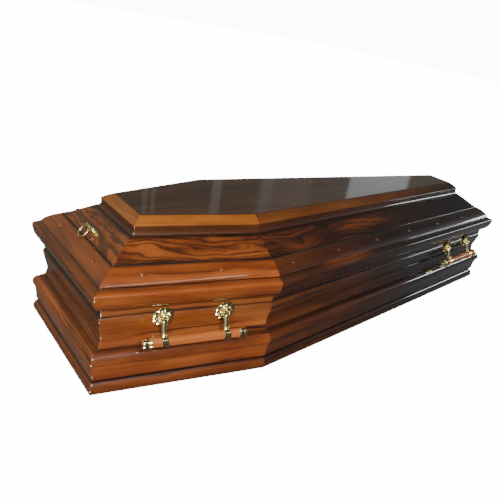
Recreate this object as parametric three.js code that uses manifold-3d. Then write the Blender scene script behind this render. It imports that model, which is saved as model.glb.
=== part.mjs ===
// Six-sided wooden coffin with a loose raised lid, four swing-bar handles and a ring pull on the lid.
// Millimetres, +Z up. X runs along the coffin with the head end at -X, and Y runs across it.
// The origin is on the ground under the middle of the coffin.
//
// Every moulding runs round the same six-sided outline with mitred corners. A moulding's section is a
// closed list of [set, height] points: set is how far a point stands outside the outline (inside when
// negative) and height is above the ground, listed anticlockwise with the outside on the right.
import * as THREE from 'three';
import { mergeVertices } from 'three/addons/utils/BufferGeometryUtils.js';
import Module from 'manifold-3d';

// Outline of the foot of the plinth.
const OUTLINE_LENGTH = 1990;
const HEAD_WIDTH = 474;
const SHOULDER_WIDTH = 698;
const FOOT_WIDTH = 452;
const SHOULDER_FROM_HEAD = 521;

// Clearance between pieces that touch.
const GAP = 0.3;

// Body walls.
const WALL_TOP = 254;
const WALL_INNER_SET = -52;
const WALL_BACK_SET = -36;
const PANEL_FOOT_SET = -24;
const PANEL_WAIST_SET = -32;
const PANEL_WAIST_HEIGHT = 165;
const PANEL_SWEEP_SET = -29;
const PANEL_SWEEP_HEIGHT = 146;
const PANEL_BREAST_SET = -21;
const PANEL_BREAST_HEIGHT = 219;
const PANEL_STEP_SET = -27.5;
const PANEL_STEP_HEIGHT = 231;
const PANEL_STEP_RISE = 1;
const FASCIA_SET = -25.5;
const FASCIA_ROUND = 6;
const FLOOR_THICKNESS = 16;

// Plinth moulding.
const PLINTH_TOP = 38;
const PLINTH_NOSE_SET = 2;
const PLINTH_NOSE_HEIGHT = 14;
const PLINTH_FOOT_SET = -3;
const GROOVE_SET = -13;

// Base moulding above the plinth.
const BASE_TOP = 130;
const BASE_TOP_SET = -20;
const BASE_FILLET = 4;
const BASE_TOE_SET = -5;
const BASE_TOE_RISE = 5;
const BASE_NOSE_SET = 4.5;
const BASE_NOSE_LOW = 100;
const BASE_NOSE_HIGH = 106;

// Lid frame: round moulding below, sloping band with the stud row above.
const LID_SEAT = WALL_TOP + GAP;
const NECK_SET = -24;
const NECK_RISE = 2.5;
const LID_NOSE_SET = 5;
const LID_NOSE_HEIGHT = 306;
const SHELF_EDGE_SET = 0;
const SHELF_EDGE_HEIGHT = 313;
const SHELF_BACK_SET = -19.5;
const SHELF_BACK_HEIGHT = 319.5;
const BAND_LOW = new THREE.Vector2(-17, 325);
const BAND_HIGH = new THREE.Vector2(-66, 356.5);
const BAND_ARRIS = 3;
const BAND_BULGE = 8;
const BAND_THICKNESS = 18;
const BAND_GROOVE = 3;

// Wide sloping board of the lid.
const BOARD_HIGH = new THREE.Vector2(-140, 401);
const BOARD_SET_DOWN = 1.5;
const BOARD_THICKNESS = 14;
const BOARD_TOP = 402;

// Border moulding and flat top panel.
const COVE_FOOT_SET = -146;
const COVE_BACK_SET = -156;
const COVE_TOP = 423;
const BORDER_LIP_SET = -154;
const BORDER_LIP_LOW = 426;
const BORDER_LIP_HIGH = 429;
const BORDER_BULGE = 3;
const BORDER_EDGE_SET = -186;
const LID_TOP = 450;
const BORDER_EDGE_DROP = 0.6;
const REBATE_SET = -187.2;
const BORDER_INNER_SET = -205;
const PANEL_THICKNESS = 13.7;
const BORDER_LEDGE_DEPTH = 12;

// Domed screw covers.
const STUD_RADIUS = 6.5;
const STUD_HEIGHT = 4.2;
const STUD_SHOULDER_RADIUS = 5.2;
const STUD_SHOULDER_HEIGHT = 2.9;
const STUD_PITCH = 225;
const STUD_SIDE_START = 125;
const STUD_SIDE_COUNT = 2;
const STUD_LONG_START = 78;
const STUD_LONG_COUNT = 6;
const STUD_HEAD_SPREAD = 122;
const STUD_FOOT_SPREAD = 110;
const BOARD_STUD_SET = -77;
const BOARD_STUD_OFF_CENTRE = 29;

// Swing-bar handles, drawn about the hinge pin for a wall that faces -Y, with X along the wall.
const HANDLE_FROM_HEAD_CORNER = 281;
const HANDLE_FROM_FOOT_CORNER = 262;
const ROSETTE_SPREAD = 92;
const ROSETTE_HEIGHT = 219;
const ROSETTE_RADIUS = 30.5;
const ROSETTE_PETALS = 8;
const ROSETTE_PETAL_DEPTH = 3;
const ROSETTE_THICKNESS = 4;
const ROSETTE_BEVEL = 1.8;
const BOSS_RADIUS = 15;
const BOSS_FRONT_RADIUS = 12;
const BOSS_RISE = 1.5;
const NUT_ABOVE_CENTRE = 10.5;
const NUT_RADIUS = 4.5;
const NUT_CROWN_RADIUS = 3;
const NUT_CROWN = 2;
const NUT_FRONT = 18;

// Hinge of a handle. The pin lies just in front of the boss, below the rosette's middle.
const PIN_BELOW_CENTRE = 3;
const PIN_RADIUS = 2.6;
const KNUCKLE_RADIUS = 5.6;
const KNUCKLE_CLEARANCE = 0.6;
const LUG_SPREAD = 11;
const LUG_WIDTH = 6;
const LUG_RADIUS = 5.2;
const LUG_NECK_DEPTH = 8.4;
const HINGE_HEIGHT = ROSETTE_HEIGHT - PIN_BELOW_CENTRE;
const HINGE_STAND_OFF = GAP + ROSETTE_THICKNESS + BOSS_RISE + KNUCKLE_CLEARANCE + KNUCKLE_RADIUS;

// Arms and bar of a handle. At rest the arms lean out, so that the bar hangs clear of the wall.
const BAR_DROP = 56.5;
const BAR_LEAN_OUT = 20;
const ARM_RADIUS_TOP = 7.5;
const ARM_RADIUS_LOW = 6;
const ARM_FLATNESS = 0.75;
const COLLAR_RADIUS = 8;
const COLLAR_WIDTH = 4;
const COLLAR_ABOVE_BAR = 21;
const BAR_RADIUS = 13.5;
const BAR_RING_WALL = 2.4;
const BAR_RING_WIDTH = 18;
const BAR_HALF_LENGTH = 153;
const CAP_INNER_END = 130;
const CAP_OUTER_END = 157.5;
const CAP_WALL = 2.4;
const CAP_LIP = 1.8;
const CAP_LIP_WIDTH = 3;
const CAP_ROUND = 5;
const CAP_FACE_RADIUS = 12;
const CAP_FACE_DROP = 0.5;

// Ring pull on the head end's sloping board, drawn lying down the slope along -Y of its own frame.
// The ring dips from its pin until its far side rests on the swell of the band below the board.
const PULL_SET = -92;
const PULL_OFF_CENTRE = -16;
const PULL_PIN_LIFT = 17;
const PULL_PIN_RADIUS = 1.8;
const PULL_PLATE_LENGTH = 60;
const PULL_PLATE_WIDTH = 14;
const PULL_PLATE_THICKNESS = 2;
const PULL_PLATE_OVERHANG = 17.5;
const PULL_LUG_SPREAD = 13;
const PULL_LUG_WIDTH = 4.4;
const PULL_LUG_RADIUS = 3.6;
const PULL_RING_RADIUS = 18.4;
const PULL_RING_HANG = 21.8;
const PULL_RING_REST = 4;
const PULL_WIRE_RADIUS = 2.6;
const PULL_KNUCKLE_RADIUS = 3.6;
const PULL_KNOB_OFFSET = 35.5;
const PULL_KNOB_RADIUS = 5.5;
const PULL_KNOB_CROWN_RADIUS = 3.3;
const PULL_KNOB_HEIGHT = 10;
const PULL_KNOB_CROWN = 1;
const PULL_KNOB_SHOULDER = 4;

// Facets round the bar and its fittings, and round the small pins and lugs.
const BAR_FACETS = 16;
const SMALL_FACETS = 8;
const RING_FACETS = 20;
const WIRE_FACETS = 6;
const PLATE_END_FACETS = 6;
const PETAL_FACETS = 3;
const NUT_FACETS = 6;

// Spans of the curves in a section.
const ROUND_STEPS = 3;
const SWELL_STEPS = 4;
const ROLL_STEPS = 5;
const PANEL_STEPS = 10;

const TURN = 2 * Math.PI;
const QUARTER = Math.PI / 2;

const finish = {
  side: { color: 0x8c4a20, roughness: 0.12, metalness: 0 },
  moulding: { color: 0x7a3d1c, roughness: 0.12, metalness: 0 },
  figured: { color: 0x5f2f18, roughness: 0.1, metalness: 0 },
  border: { color: 0xa8652a, roughness: 0.12, metalness: 0 },
  top: { color: 0x3c2a20, roughness: 0.06, metalness: 0 },
  floor: { color: 0x8f6a45, roughness: 0.7, metalness: 0 },
  bar: { color: 0xa8683f, roughness: 0.4, metalness: 0 },
  brass: { color: 0xc9a24a, roughness: 0.18, metalness: 1 },
};

// Manifold solids.

const wasm = await Module();
wasm.setup();

function toSolid(geometry) {
  const bare = geometry.clone();
  bare.deleteAttribute('normal');
  bare.deleteAttribute('uv');
  const merged = mergeVertices(bare, 1e-4);
  const vertProperties = Float32Array.from(merged.attributes.position.array);
  const triVerts = Uint32Array.from(merged.index.array);
  return new wasm.Manifold(new wasm.Mesh({ numProp: 3, vertProperties, triVerts }));
}

function toGeometry(solid) {
  const mesh = solid.getMesh();
  const geometry = new THREE.BufferGeometry();
  geometry.setAttribute('position', new THREE.BufferAttribute(Float32Array.from(mesh.vertProperties), 3));
  geometry.setIndex(new THREE.BufferAttribute(Uint32Array.from(mesh.triVerts), 1));
  geometry.computeVertexNormals();
  return geometry;
}

function join(geometries) {
  const [first, ...rest] = geometries.map(toSolid);
  return rest.reduce((whole, piece) => whole.add(piece), first);
}

// The outline and its sides.

function outlineCorners() {
  const head = -OUTLINE_LENGTH / 2;
  const shoulder = head + SHOULDER_FROM_HEAD;
  const foot = OUTLINE_LENGTH / 2;
  return [
    new THREE.Vector2(head, -HEAD_WIDTH / 2),
    new THREE.Vector2(shoulder, -SHOULDER_WIDTH / 2),
    new THREE.Vector2(foot, -FOOT_WIDTH / 2),
    new THREE.Vector2(foot, FOOT_WIDTH / 2),
    new THREE.Vector2(shoulder, SHOULDER_WIDTH / 2),
    new THREE.Vector2(head, HEAD_WIDTH / 2),
  ];
}

const corners = outlineCorners();

function makeSide(index) {
  const start = corners[index];
  const end = corners[(index + 1) % corners.length];
  const along = end.clone().sub(start).normalize();
  const outward = new THREE.Vector2(along.y, -along.x);
  return { start, along, outward, length: start.distanceTo(end) };
}

const sides = corners.map((corner, index) => makeSide(index));
const [NEAR_SHORT, NEAR_LONG, FOOT_END, FAR_LONG, FAR_SHORT, HEAD_END] = sides;

// The mitre at a corner moves a point that stands one unit outside both of its sides.
const mitres = corners.map((corner, index) => {
  const before = sides[(index + sides.length - 1) % sides.length].outward;
  const after = sides[index].outward;
  return before.clone().add(after).divideScalar(1 + before.dot(after));
});

function cornerAt(index, set) {
  return corners[index].clone().addScaledVector(mitres[index], set);
}

// A moulding round the whole outline: a six-step lathe ring whose steps are moved out to the corners.
function mouldingRing(section) {
  const closed = [...section, section[0]];
  const points = closed.map(([set, height]) => new THREE.Vector2(OUTLINE_LENGTH + set, height));
  const geometry = new THREE.LatheGeometry(points, corners.length);
  const position = geometry.attributes.position;
  for (let vertex = 0; vertex < position.count; vertex += 1) {
    const step = Math.floor(vertex / closed.length) % corners.length;
    const [set, height] = closed[vertex % closed.length];
    const corner = cornerAt(step, set);
    position.setXYZ(vertex, corner.x, corner.y, height);
  }
  return geometry;
}

function hexagonPlate(set, low, high) {
  const shape = new THREE.Shape(corners.map((corner, index) => cornerAt(index, set)));
  const geometry = new THREE.ExtrudeGeometry(shape, { depth: high - low, bevelEnabled: false });
  geometry.translate(0, 0, low);
  return geometry;
}

// Curves of a section.

// A quarter of an ellipse between two points. It leaves the first one upright and reaches the second
// one level, or the other way round when levelFirst is true.
function quarterCurve(from, to, steps, levelFirst) {
  const points = [];
  for (let step = 0; step <= steps; step += 1) {
    const angle = (QUARTER * step) / steps;
    const rise = levelFirst ? 1 - Math.cos(angle) : Math.sin(angle);
    const run = levelFirst ? Math.sin(angle) : 1 - Math.cos(angle);
    points.push([from[0] + (to[0] - from[0]) * run, from[1] + (to[1] - from[1]) * rise]);
  }
  return points;
}

function splinePoints(stations, steps) {
  const curve = new THREE.SplineCurve(stations.map(([set, height]) => new THREE.Vector2(set, height)));
  return curve.getPoints(steps).map((point) => [point.x, point.y]);
}

// A face between two points that swells outward in its middle. The control point of the curve stands
// out by the bulge, so the face itself swells by half of it.
function swollenFace(from, to, bulge, steps) {
  const run = to.clone().sub(from).normalize();
  const outward = new THREE.Vector2(run.y, -run.x);
  const middle = from.clone().lerp(to, 0.5).addScaledVector(outward, bulge);
  const curve = new THREE.QuadraticBezierCurve(from, middle, to);
  return curve.getPoints(steps).map((point) => [point.x, point.y]);
}

// Sections.

const wallSection = [
  [WALL_INNER_SET, 0],
  [WALL_BACK_SET - GAP, 0],
  [WALL_BACK_SET - GAP, BASE_TOP + GAP],
  ...splinePoints([
    [PANEL_FOOT_SET, BASE_TOP + GAP],
    [PANEL_SWEEP_SET, PANEL_SWEEP_HEIGHT],
    [PANEL_WAIST_SET, PANEL_WAIST_HEIGHT],
    [(PANEL_WAIST_SET + PANEL_BREAST_SET) / 2, (PANEL_WAIST_HEIGHT + PANEL_BREAST_HEIGHT) / 2],
    [PANEL_BREAST_SET, PANEL_BREAST_HEIGHT],
  ], PANEL_STEPS),
  ...quarterCurve(
    [PANEL_BREAST_SET, PANEL_BREAST_HEIGHT],
    [PANEL_STEP_SET, PANEL_STEP_HEIGHT],
    ROUND_STEPS,
    false,
  ).slice(1),
  [FASCIA_SET, PANEL_STEP_HEIGHT + PANEL_STEP_RISE],
  ...quarterCurve(
    [FASCIA_SET, WALL_TOP - FASCIA_ROUND],
    [FASCIA_SET - FASCIA_ROUND, WALL_TOP],
    ROUND_STEPS,
    false,
  ),
  [WALL_INNER_SET, WALL_TOP],
];

const plinthSection = [
  [WALL_BACK_SET, 0],
  ...quarterCurve([PLINTH_FOOT_SET, 0], [PLINTH_NOSE_SET, PLINTH_NOSE_HEIGHT], ROUND_STEPS, true),
  ...quarterCurve(
    [PLINTH_NOSE_SET, PLINTH_NOSE_HEIGHT],
    [GROOVE_SET, PLINTH_TOP],
    ROLL_STEPS,
    false,
  ).slice(1),
  [WALL_BACK_SET, PLINTH_TOP],
];

const baseSection = [
  [WALL_BACK_SET, PLINTH_TOP + GAP],
  [GROOVE_SET, PLINTH_TOP + GAP],
  [GROOVE_SET, PLINTH_TOP + BASE_FILLET],
  [BASE_TOE_SET, PLINTH_TOP + BASE_FILLET + BASE_TOE_RISE],
  ...quarterCurve(
    [BASE_TOE_SET, PLINTH_TOP + BASE_FILLET + 2 * BASE_TOE_RISE],
    [BASE_NOSE_SET, BASE_NOSE_LOW],
    ROLL_STEPS,
    false,
  ),
  ...quarterCurve([BASE_NOSE_SET, BASE_NOSE_HIGH], [BASE_TOP_SET, BASE_TOP], ROLL_STEPS, false),
  [WALL_BACK_SET, BASE_TOP],
];

// The band and the board of the lid meet square to the band's slope, across a small V groove.
const bandRun = BAND_HIGH.clone().sub(BAND_LOW).normalize();
const bandOut = new THREE.Vector2(bandRun.y, -bandRun.x);

function fromBandTop(along, out) {
  return BAND_HIGH.clone().addScaledVector(bandRun, along).addScaledVector(bandOut, out);
}

const bandGrooveFloor = fromBandTop(BAND_GROOVE / 2, -BAND_GROOVE);
const bandInnerTop = fromBandTop(BAND_GROOVE / 2, -BAND_THICKNESS);
const bandInnerRun = (WALL_INNER_SET - bandInnerTop.x) / bandRun.x;

const lidFrameSection = [
  [WALL_INNER_SET, LID_SEAT],
  [NECK_SET, LID_SEAT],
  ...quarterCurve([NECK_SET, LID_SEAT + NECK_RISE], [LID_NOSE_SET, LID_NOSE_HEIGHT], ROLL_STEPS, true),
  ...quarterCurve(
    [LID_NOSE_SET, LID_NOSE_HEIGHT],
    [SHELF_EDGE_SET, SHELF_EDGE_HEIGHT],
    ROUND_STEPS,
    false,
  ).slice(1),
  [SHELF_BACK_SET, SHELF_BACK_HEIGHT],
  [BAND_LOW.x, BAND_LOW.y - BAND_ARRIS],
  ...swollenFace(BAND_LOW, BAND_HIGH, BAND_BULGE, SWELL_STEPS),
  bandGrooveFloor.toArray(),
  bandInnerTop.toArray(),
  [WALL_INNER_SET, bandInnerTop.y + bandInnerRun * bandRun.y],
];

const boardGrooveFloor = fromBandTop(BAND_GROOVE / 2 + GAP, -BAND_GROOVE);
const boardLow = fromBandTop(BAND_GROOVE + GAP, -BOARD_SET_DOWN);
const boardInnerLow = fromBandTop(BAND_GROOVE / 2 + GAP, -BOARD_SET_DOWN - BOARD_THICKNESS);
const boardRun = BOARD_HIGH.clone().sub(boardLow).normalize();
const boardOut = new THREE.Vector2(boardRun.y, -boardRun.x);

function setAtHeight(from, run, height) {
  return from.x + ((height - from.y) / run.y) * run.x;
}

const boardInnerTopSet = setAtHeight(boardInnerLow, boardRun, BOARD_TOP);

const boardSection = [
  boardInnerLow.toArray(),
  boardGrooveFloor.toArray(),
  boardLow.toArray(),
  BOARD_HIGH.toArray(),
  [setAtHeight(BOARD_HIGH, boardRun, BOARD_TOP), BOARD_TOP],
  [boardInnerTopSet, BOARD_TOP],
];

const borderSection = [
  [boardInnerTopSet, BOARD_TOP + GAP],
  ...quarterCurve([COVE_FOOT_SET, BOARD_TOP + GAP], [COVE_BACK_SET, COVE_TOP], SWELL_STEPS, true),
  [BORDER_LIP_SET, BORDER_LIP_LOW],
  ...swollenFace(
    new THREE.Vector2(BORDER_LIP_SET, BORDER_LIP_HIGH),
    new THREE.Vector2(BORDER_EDGE_SET, LID_TOP - BORDER_EDGE_DROP),
    BORDER_BULGE,
    SWELL_STEPS,
  ),
  [REBATE_SET, LID_TOP - 2 * BORDER_EDGE_DROP],
  [REBATE_SET, LID_TOP - PANEL_THICKNESS - GAP],
  [BORDER_INNER_SET, LID_TOP - PANEL_THICKNESS - GAP],
  [BORDER_INNER_SET, LID_TOP - PANEL_THICKNESS - BORDER_LEDGE_DEPTH],
];

// Assembly helpers.

const coffin = new THREE.Group();
coffin.name = 'coffin';

function addMesh(parent, name, geometry, material) {
  const mesh = new THREE.Mesh(geometry, new THREE.MeshStandardMaterial(material));
  mesh.name = name;
  parent.add(mesh);
  return mesh;
}

// A frame on one side of the outline: X along the side, -Y outward, Z up.
function frameOnSide(side, along, set, height) {
  const frame = new THREE.Group();
  const spot = side.start.clone().addScaledVector(side.along, along).addScaledVector(side.outward, set);
  frame.position.set(spot.x, spot.y, height);
  frame.rotation.z = Math.atan2(side.along.y, side.along.x);
  coffin.add(frame);
  return frame;
}

// The same frame leaning back with a sloping face, so that its Z stands square out of the face.
function frameOnSlope(side, along, foot, run) {
  const frame = frameOnSide(side, along, foot.x, foot.y);
  const lean = new THREE.Group();
  lean.rotation.x = Math.atan2(run.y, -run.x);
  frame.add(lean);
  return lean;
}

// Studs.

function studGeometry() {
  const profile = [
    [0, GAP],
    [STUD_RADIUS, GAP],
    [STUD_SHOULDER_RADIUS, GAP + STUD_SHOULDER_HEIGHT],
    [0, GAP + STUD_HEIGHT],
  ];
  const geometry = new THREE.LatheGeometry(profile.map(([x, y]) => new THREE.Vector2(x, y)), SMALL_FACETS);
  geometry.rotateX(QUARTER);
  return geometry;
}

const bandMiddle = BAND_LOW.clone().lerp(BAND_HIGH, 0.5).addScaledVector(bandOut, BAND_BULGE / 2);

function addBandStud(name, side, along) {
  addMesh(frameOnSlope(side, along, bandMiddle, bandRun), name, studGeometry(), finish.moulding);
}

for (let index = 0; index < STUD_SIDE_COUNT; index += 1) {
  const along = STUD_SIDE_START + index * STUD_PITCH;
  addBandStud(`stud_near_short_${index + 1}`, NEAR_SHORT, along);
  addBandStud(`stud_far_short_${index + 1}`, FAR_SHORT, FAR_SHORT.length - along);
}
for (let index = 0; index < STUD_LONG_COUNT; index += 1) {
  const along = STUD_LONG_START + index * STUD_PITCH;
  addBandStud(`stud_near_long_${index + 1}`, NEAR_LONG, along);
  addBandStud(`stud_far_long_${index + 1}`, FAR_LONG, FAR_LONG.length - along);
}
for (const [index, hand] of [-1, 1].entries()) {
  addBandStud(`stud_head_${index + 1}`, HEAD_END, HEAD_END.length / 2 + hand * STUD_HEAD_SPREAD);
  addBandStud(`stud_foot_${index + 1}`, FOOT_END, FOOT_END.length / 2 + hand * STUD_FOOT_SPREAD);
}

function boardPoint(set) {
  return boardLow.clone().addScaledVector(boardRun, (set - boardLow.x) / boardRun.x);
}

const boardStudSpot = boardPoint(BOARD_STUD_SET);
const boardStudFrame = frameOnSlope(
  HEAD_END,
  HEAD_END.length / 2 + BOARD_STUD_OFF_CENTRE,
  boardStudSpot,
  boardRun,
);
addMesh(boardStudFrame, 'stud_head_board', studGeometry(), finish.moulding);

// Body.

addMesh(coffin, 'side_walls', mouldingRing(wallSection), finish.side);
addMesh(coffin, 'floor_board', hexagonPlate(WALL_INNER_SET - GAP, 0, FLOOR_THICKNESS), finish.floor);
addMesh(coffin, 'plinth_moulding', mouldingRing(plinthSection), finish.moulding);
addMesh(coffin, 'base_moulding', mouldingRing(baseSection), finish.moulding);

// Lid.

addMesh(coffin, 'lid_frame', mouldingRing(lidFrameSection), finish.side);
addMesh(coffin, 'lid_slope_boards', mouldingRing(boardSection), finish.figured);
addMesh(coffin, 'lid_border', mouldingRing(borderSection), finish.border);
const topPanel = hexagonPlate(REBATE_SET - GAP, LID_TOP - PANEL_THICKNESS, LID_TOP);
addMesh(coffin, 'lid_top_panel', topPanel, finish.top);

// Handles. The pieces are drawn about the hinge pin's middle.

function cylinderAlongX(radius, length, x, y, z, sides) {
  const geometry = new THREE.CylinderGeometry(radius, radius, length, sides);
  geometry.rotateZ(QUARTER);
  geometry.translate(x, y, z);
  return geometry;
}

function petalShape() {
  const points = [];
  const steps = ROSETTE_PETALS * PETAL_FACETS;
  for (let step = 0; step < steps; step += 1) {
    const angle = (TURN * step) / steps;
    const wave = Math.abs(Math.sin((angle * ROSETTE_PETALS) / 2));
    const radius = ROSETTE_RADIUS - ROSETTE_BEVEL - ROSETTE_PETAL_DEPTH * (1 - wave);
    points.push(new THREE.Vector2(radius * Math.cos(angle), radius * Math.sin(angle)));
  }
  return new THREE.Shape(points);
}

// A turned piece that stands out of the wall: a list of [radius, depth in front of the wall].
function turnedFromWall(profile, facets) {
  const geometry = new THREE.LatheGeometry(profile.map(([x, y]) => new THREE.Vector2(x, y)), facets);
  geometry.rotateX(QUARTER);
  return geometry;
}

// The wall's face is HINGE_STAND_OFF behind the pin, so a depth counted out from the wall is at -Y.
function rosetteGeometry() {
  const plateFront = GAP + ROSETTE_THICKNESS;
  const plateMiddle = GAP + ROSETTE_THICKNESS / 2;
  const plate = new THREE.ExtrudeGeometry(petalShape(), {
    depth: ROSETTE_THICKNESS - 2 * ROSETTE_BEVEL,
    bevelThickness: ROSETTE_BEVEL,
    bevelSize: ROSETTE_BEVEL,
    bevelSegments: 1,
  });
  plate.translate(0, 0, GAP + ROSETTE_BEVEL);
  const boss = turnedFromWall([
    [0, plateMiddle],
    [BOSS_RADIUS, plateMiddle],
    [BOSS_RADIUS, plateFront],
    [BOSS_FRONT_RADIUS, plateFront + BOSS_RISE],
    [0, plateFront + BOSS_RISE],
  ], SMALL_FACETS);
  const nut = turnedFromWall([
    [0, plateMiddle],
    [NUT_RADIUS, plateMiddle],
    [NUT_RADIUS, NUT_FRONT - NUT_CROWN],
    [NUT_CROWN_RADIUS, NUT_FRONT],
    [0, NUT_FRONT],
  ], NUT_FACETS);
  nut.translate(0, NUT_ABOVE_CENTRE, 0);
  const face = [plate, boss, nut];
  for (const piece of face) {
    piece.rotateX(QUARTER);
    piece.translate(0, HINGE_STAND_OFF, PIN_BELOW_CENTRE);
  }
  const neckLength = HINGE_STAND_OFF - plateMiddle;
  const lugs = [-1, 1].flatMap((hand) => {
    const neck = new THREE.BoxGeometry(LUG_WIDTH, neckLength, LUG_NECK_DEPTH);
    neck.translate(hand * LUG_SPREAD, neckLength / 2, 0);
    return [cylinderAlongX(LUG_RADIUS, LUG_WIDTH, hand * LUG_SPREAD, 0, 0, SMALL_FACETS), neck];
  });
  const pin = cylinderAlongX(PIN_RADIUS, 2 * LUG_SPREAD, 0, 0, 0, SMALL_FACETS);
  return toGeometry(join([...face, ...lugs, pin]));
}

// The swinging pieces are drawn hanging straight down from the pin, and then lean out together.
const armLength = Math.hypot(BAR_DROP, BAR_LEAN_OUT);
const armLean = Math.atan2(BAR_LEAN_OUT, BAR_DROP);

function leaned(geometry) {
  geometry.rotateX(-armLean);
  return geometry;
}

function armGeometry() {
  const foot = BAR_RADIUS + GAP + BAR_RING_WALL / 4 - armLength;
  const collar = COLLAR_ABOVE_BAR - armLength;
  const shoulder = -KNUCKLE_RADIUS / 2;
  const shank = new THREE.LatheGeometry([
    new THREE.Vector2(0, foot),
    new THREE.Vector2(ARM_RADIUS_LOW, foot),
    new THREE.Vector2(ARM_RADIUS_LOW, collar - COLLAR_WIDTH / 2),
    new THREE.Vector2(COLLAR_RADIUS, collar),
    new THREE.Vector2(ARM_RADIUS_LOW, collar + COLLAR_WIDTH / 2),
    new THREE.Vector2(ARM_RADIUS_TOP, shoulder),
    new THREE.Vector2(0, shoulder),
  ], SMALL_FACETS);
  shank.rotateX(QUARTER);
  shank.scale(1, ARM_FLATNESS, 1);
  const ring = cylinderAlongX(BAR_RADIUS + GAP + BAR_RING_WALL, BAR_RING_WIDTH, 0, 0, -armLength, BAR_FACETS);
  const barHole = cylinderAlongX(BAR_RADIUS + GAP, 2 * BAR_RING_WIDTH, 0, 0, -armLength, BAR_FACETS);
  const knuckle = cylinderAlongX(KNUCKLE_RADIUS, 2 * LUG_SPREAD - LUG_WIDTH - 2 * GAP, 0, 0, 0, SMALL_FACETS);
  const pinHole = cylinderAlongX(PIN_RADIUS + GAP, 2 * LUG_SPREAD, 0, 0, 0, SMALL_FACETS);
  return leaned(toGeometry(join([shank, ring, knuckle]).subtract(join([barHole, pinHole]))));
}

function barGeometry() {
  return leaned(cylinderAlongX(BAR_RADIUS, 2 * BAR_HALF_LENGTH, 0, 0, -armLength, BAR_FACETS));
}

// A cup over the end of the bar, open towards the bar's middle, with a flared lip.
function capGeometry(hand) {
  const inner = BAR_RADIUS + GAP;
  const outer = inner + CAP_WALL;
  const cupFloor = BAR_HALF_LENGTH + GAP;
  const profile = [
    [0, cupFloor],
    [inner, cupFloor],
    [inner, CAP_INNER_END],
    [outer + CAP_LIP, CAP_INNER_END],
    [outer, CAP_INNER_END + CAP_LIP_WIDTH],
    [outer, CAP_OUTER_END - CAP_ROUND],
    [CAP_FACE_RADIUS, CAP_OUTER_END - CAP_FACE_DROP],
    [0, CAP_OUTER_END],
  ];
  const geometry = new THREE.LatheGeometry(profile.map(([x, y]) => new THREE.Vector2(x, y)), BAR_FACETS);
  geometry.rotateZ(-hand * QUARTER);
  geometry.translate(0, 0, -armLength);
  return leaned(geometry);
}

function addHandle(name, side, along) {
  const frame = frameOnSide(side, along, PANEL_BREAST_SET + HINGE_STAND_OFF, HINGE_HEIGHT);
  addMesh(frame, `handle_${name}_bar`, barGeometry(), finish.bar);
  for (const [label, hand] of [['a', -1], ['b', 1]]) {
    addMesh(frame, `handle_${name}_rosette_${label}`, rosetteGeometry(), finish.brass)
      .position.x = hand * ROSETTE_SPREAD;
    addMesh(frame, `handle_${name}_arm_${label}`, armGeometry(), finish.brass)
      .position.x = hand * ROSETTE_SPREAD;
    addMesh(frame, `handle_${name}_cap_${label}`, capGeometry(hand), finish.brass);
  }
}

addHandle('near_head', NEAR_SHORT, HANDLE_FROM_HEAD_CORNER);
addHandle('near_foot', NEAR_LONG, NEAR_LONG.length - HANDLE_FROM_FOOT_CORNER);
addHandle('far_foot', FAR_LONG, HANDLE_FROM_FOOT_CORNER);
addHandle('far_head', FAR_SHORT, FAR_SHORT.length - HANDLE_FROM_HEAD_CORNER);

// Ring pull. Its frame is on the board's face, Z square out of the face and +Y up the slope.

function roundedBar(length, width, thickness) {
  const half = length / 2 - width / 2;
  const shape = new THREE.Shape();
  shape.absarc(half, 0, width / 2, -QUARTER, QUARTER, false);
  shape.absarc(-half, 0, width / 2, QUARTER, -QUARTER + TURN, false);
  return new THREE.ExtrudeGeometry(shape, {
    depth: thickness,
    bevelEnabled: false,
    curveSegments: PLATE_END_FACETS,
  });
}

function pullBaseGeometry() {
  const plateMiddle = PULL_PLATE_LENGTH / 2 - PULL_PLATE_OVERHANG;
  const plate = roundedBar(PULL_PLATE_LENGTH, PULL_PLATE_WIDTH, PULL_PLATE_THICKNESS);
  plate.translate(plateMiddle, 0, GAP);
  const neckFoot = GAP + PULL_PLATE_THICKNESS / 2;
  const lugs = [-1, 1].flatMap((hand) => {
    const x = hand * PULL_LUG_SPREAD;
    const neck = new THREE.BoxGeometry(PULL_LUG_WIDTH, 2 * PULL_LUG_RADIUS, PULL_PIN_LIFT - neckFoot);
    neck.translate(x, 0, (PULL_PIN_LIFT + neckFoot) / 2);
    return [cylinderAlongX(PULL_LUG_RADIUS, PULL_LUG_WIDTH, x, 0, PULL_PIN_LIFT, SMALL_FACETS), neck];
  });
  const pin = cylinderAlongX(PULL_PIN_RADIUS, 2 * PULL_LUG_SPREAD, 0, 0, PULL_PIN_LIFT, SMALL_FACETS);
  const knob = turnedFromWall([
    [0, neckFoot],
    [PULL_KNOB_RADIUS, neckFoot],
    [PULL_KNOB_RADIUS, PULL_KNOB_HEIGHT - PULL_KNOB_SHOULDER],
    [PULL_KNOB_CROWN_RADIUS, PULL_KNOB_HEIGHT - PULL_KNOB_CROWN],
    [0, PULL_KNOB_HEIGHT],
  ], SMALL_FACETS);
  knob.translate(PULL_KNOB_OFFSET, 0, 0);
  return toGeometry(join([plate, ...lugs, pin, knob]));
}

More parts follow.
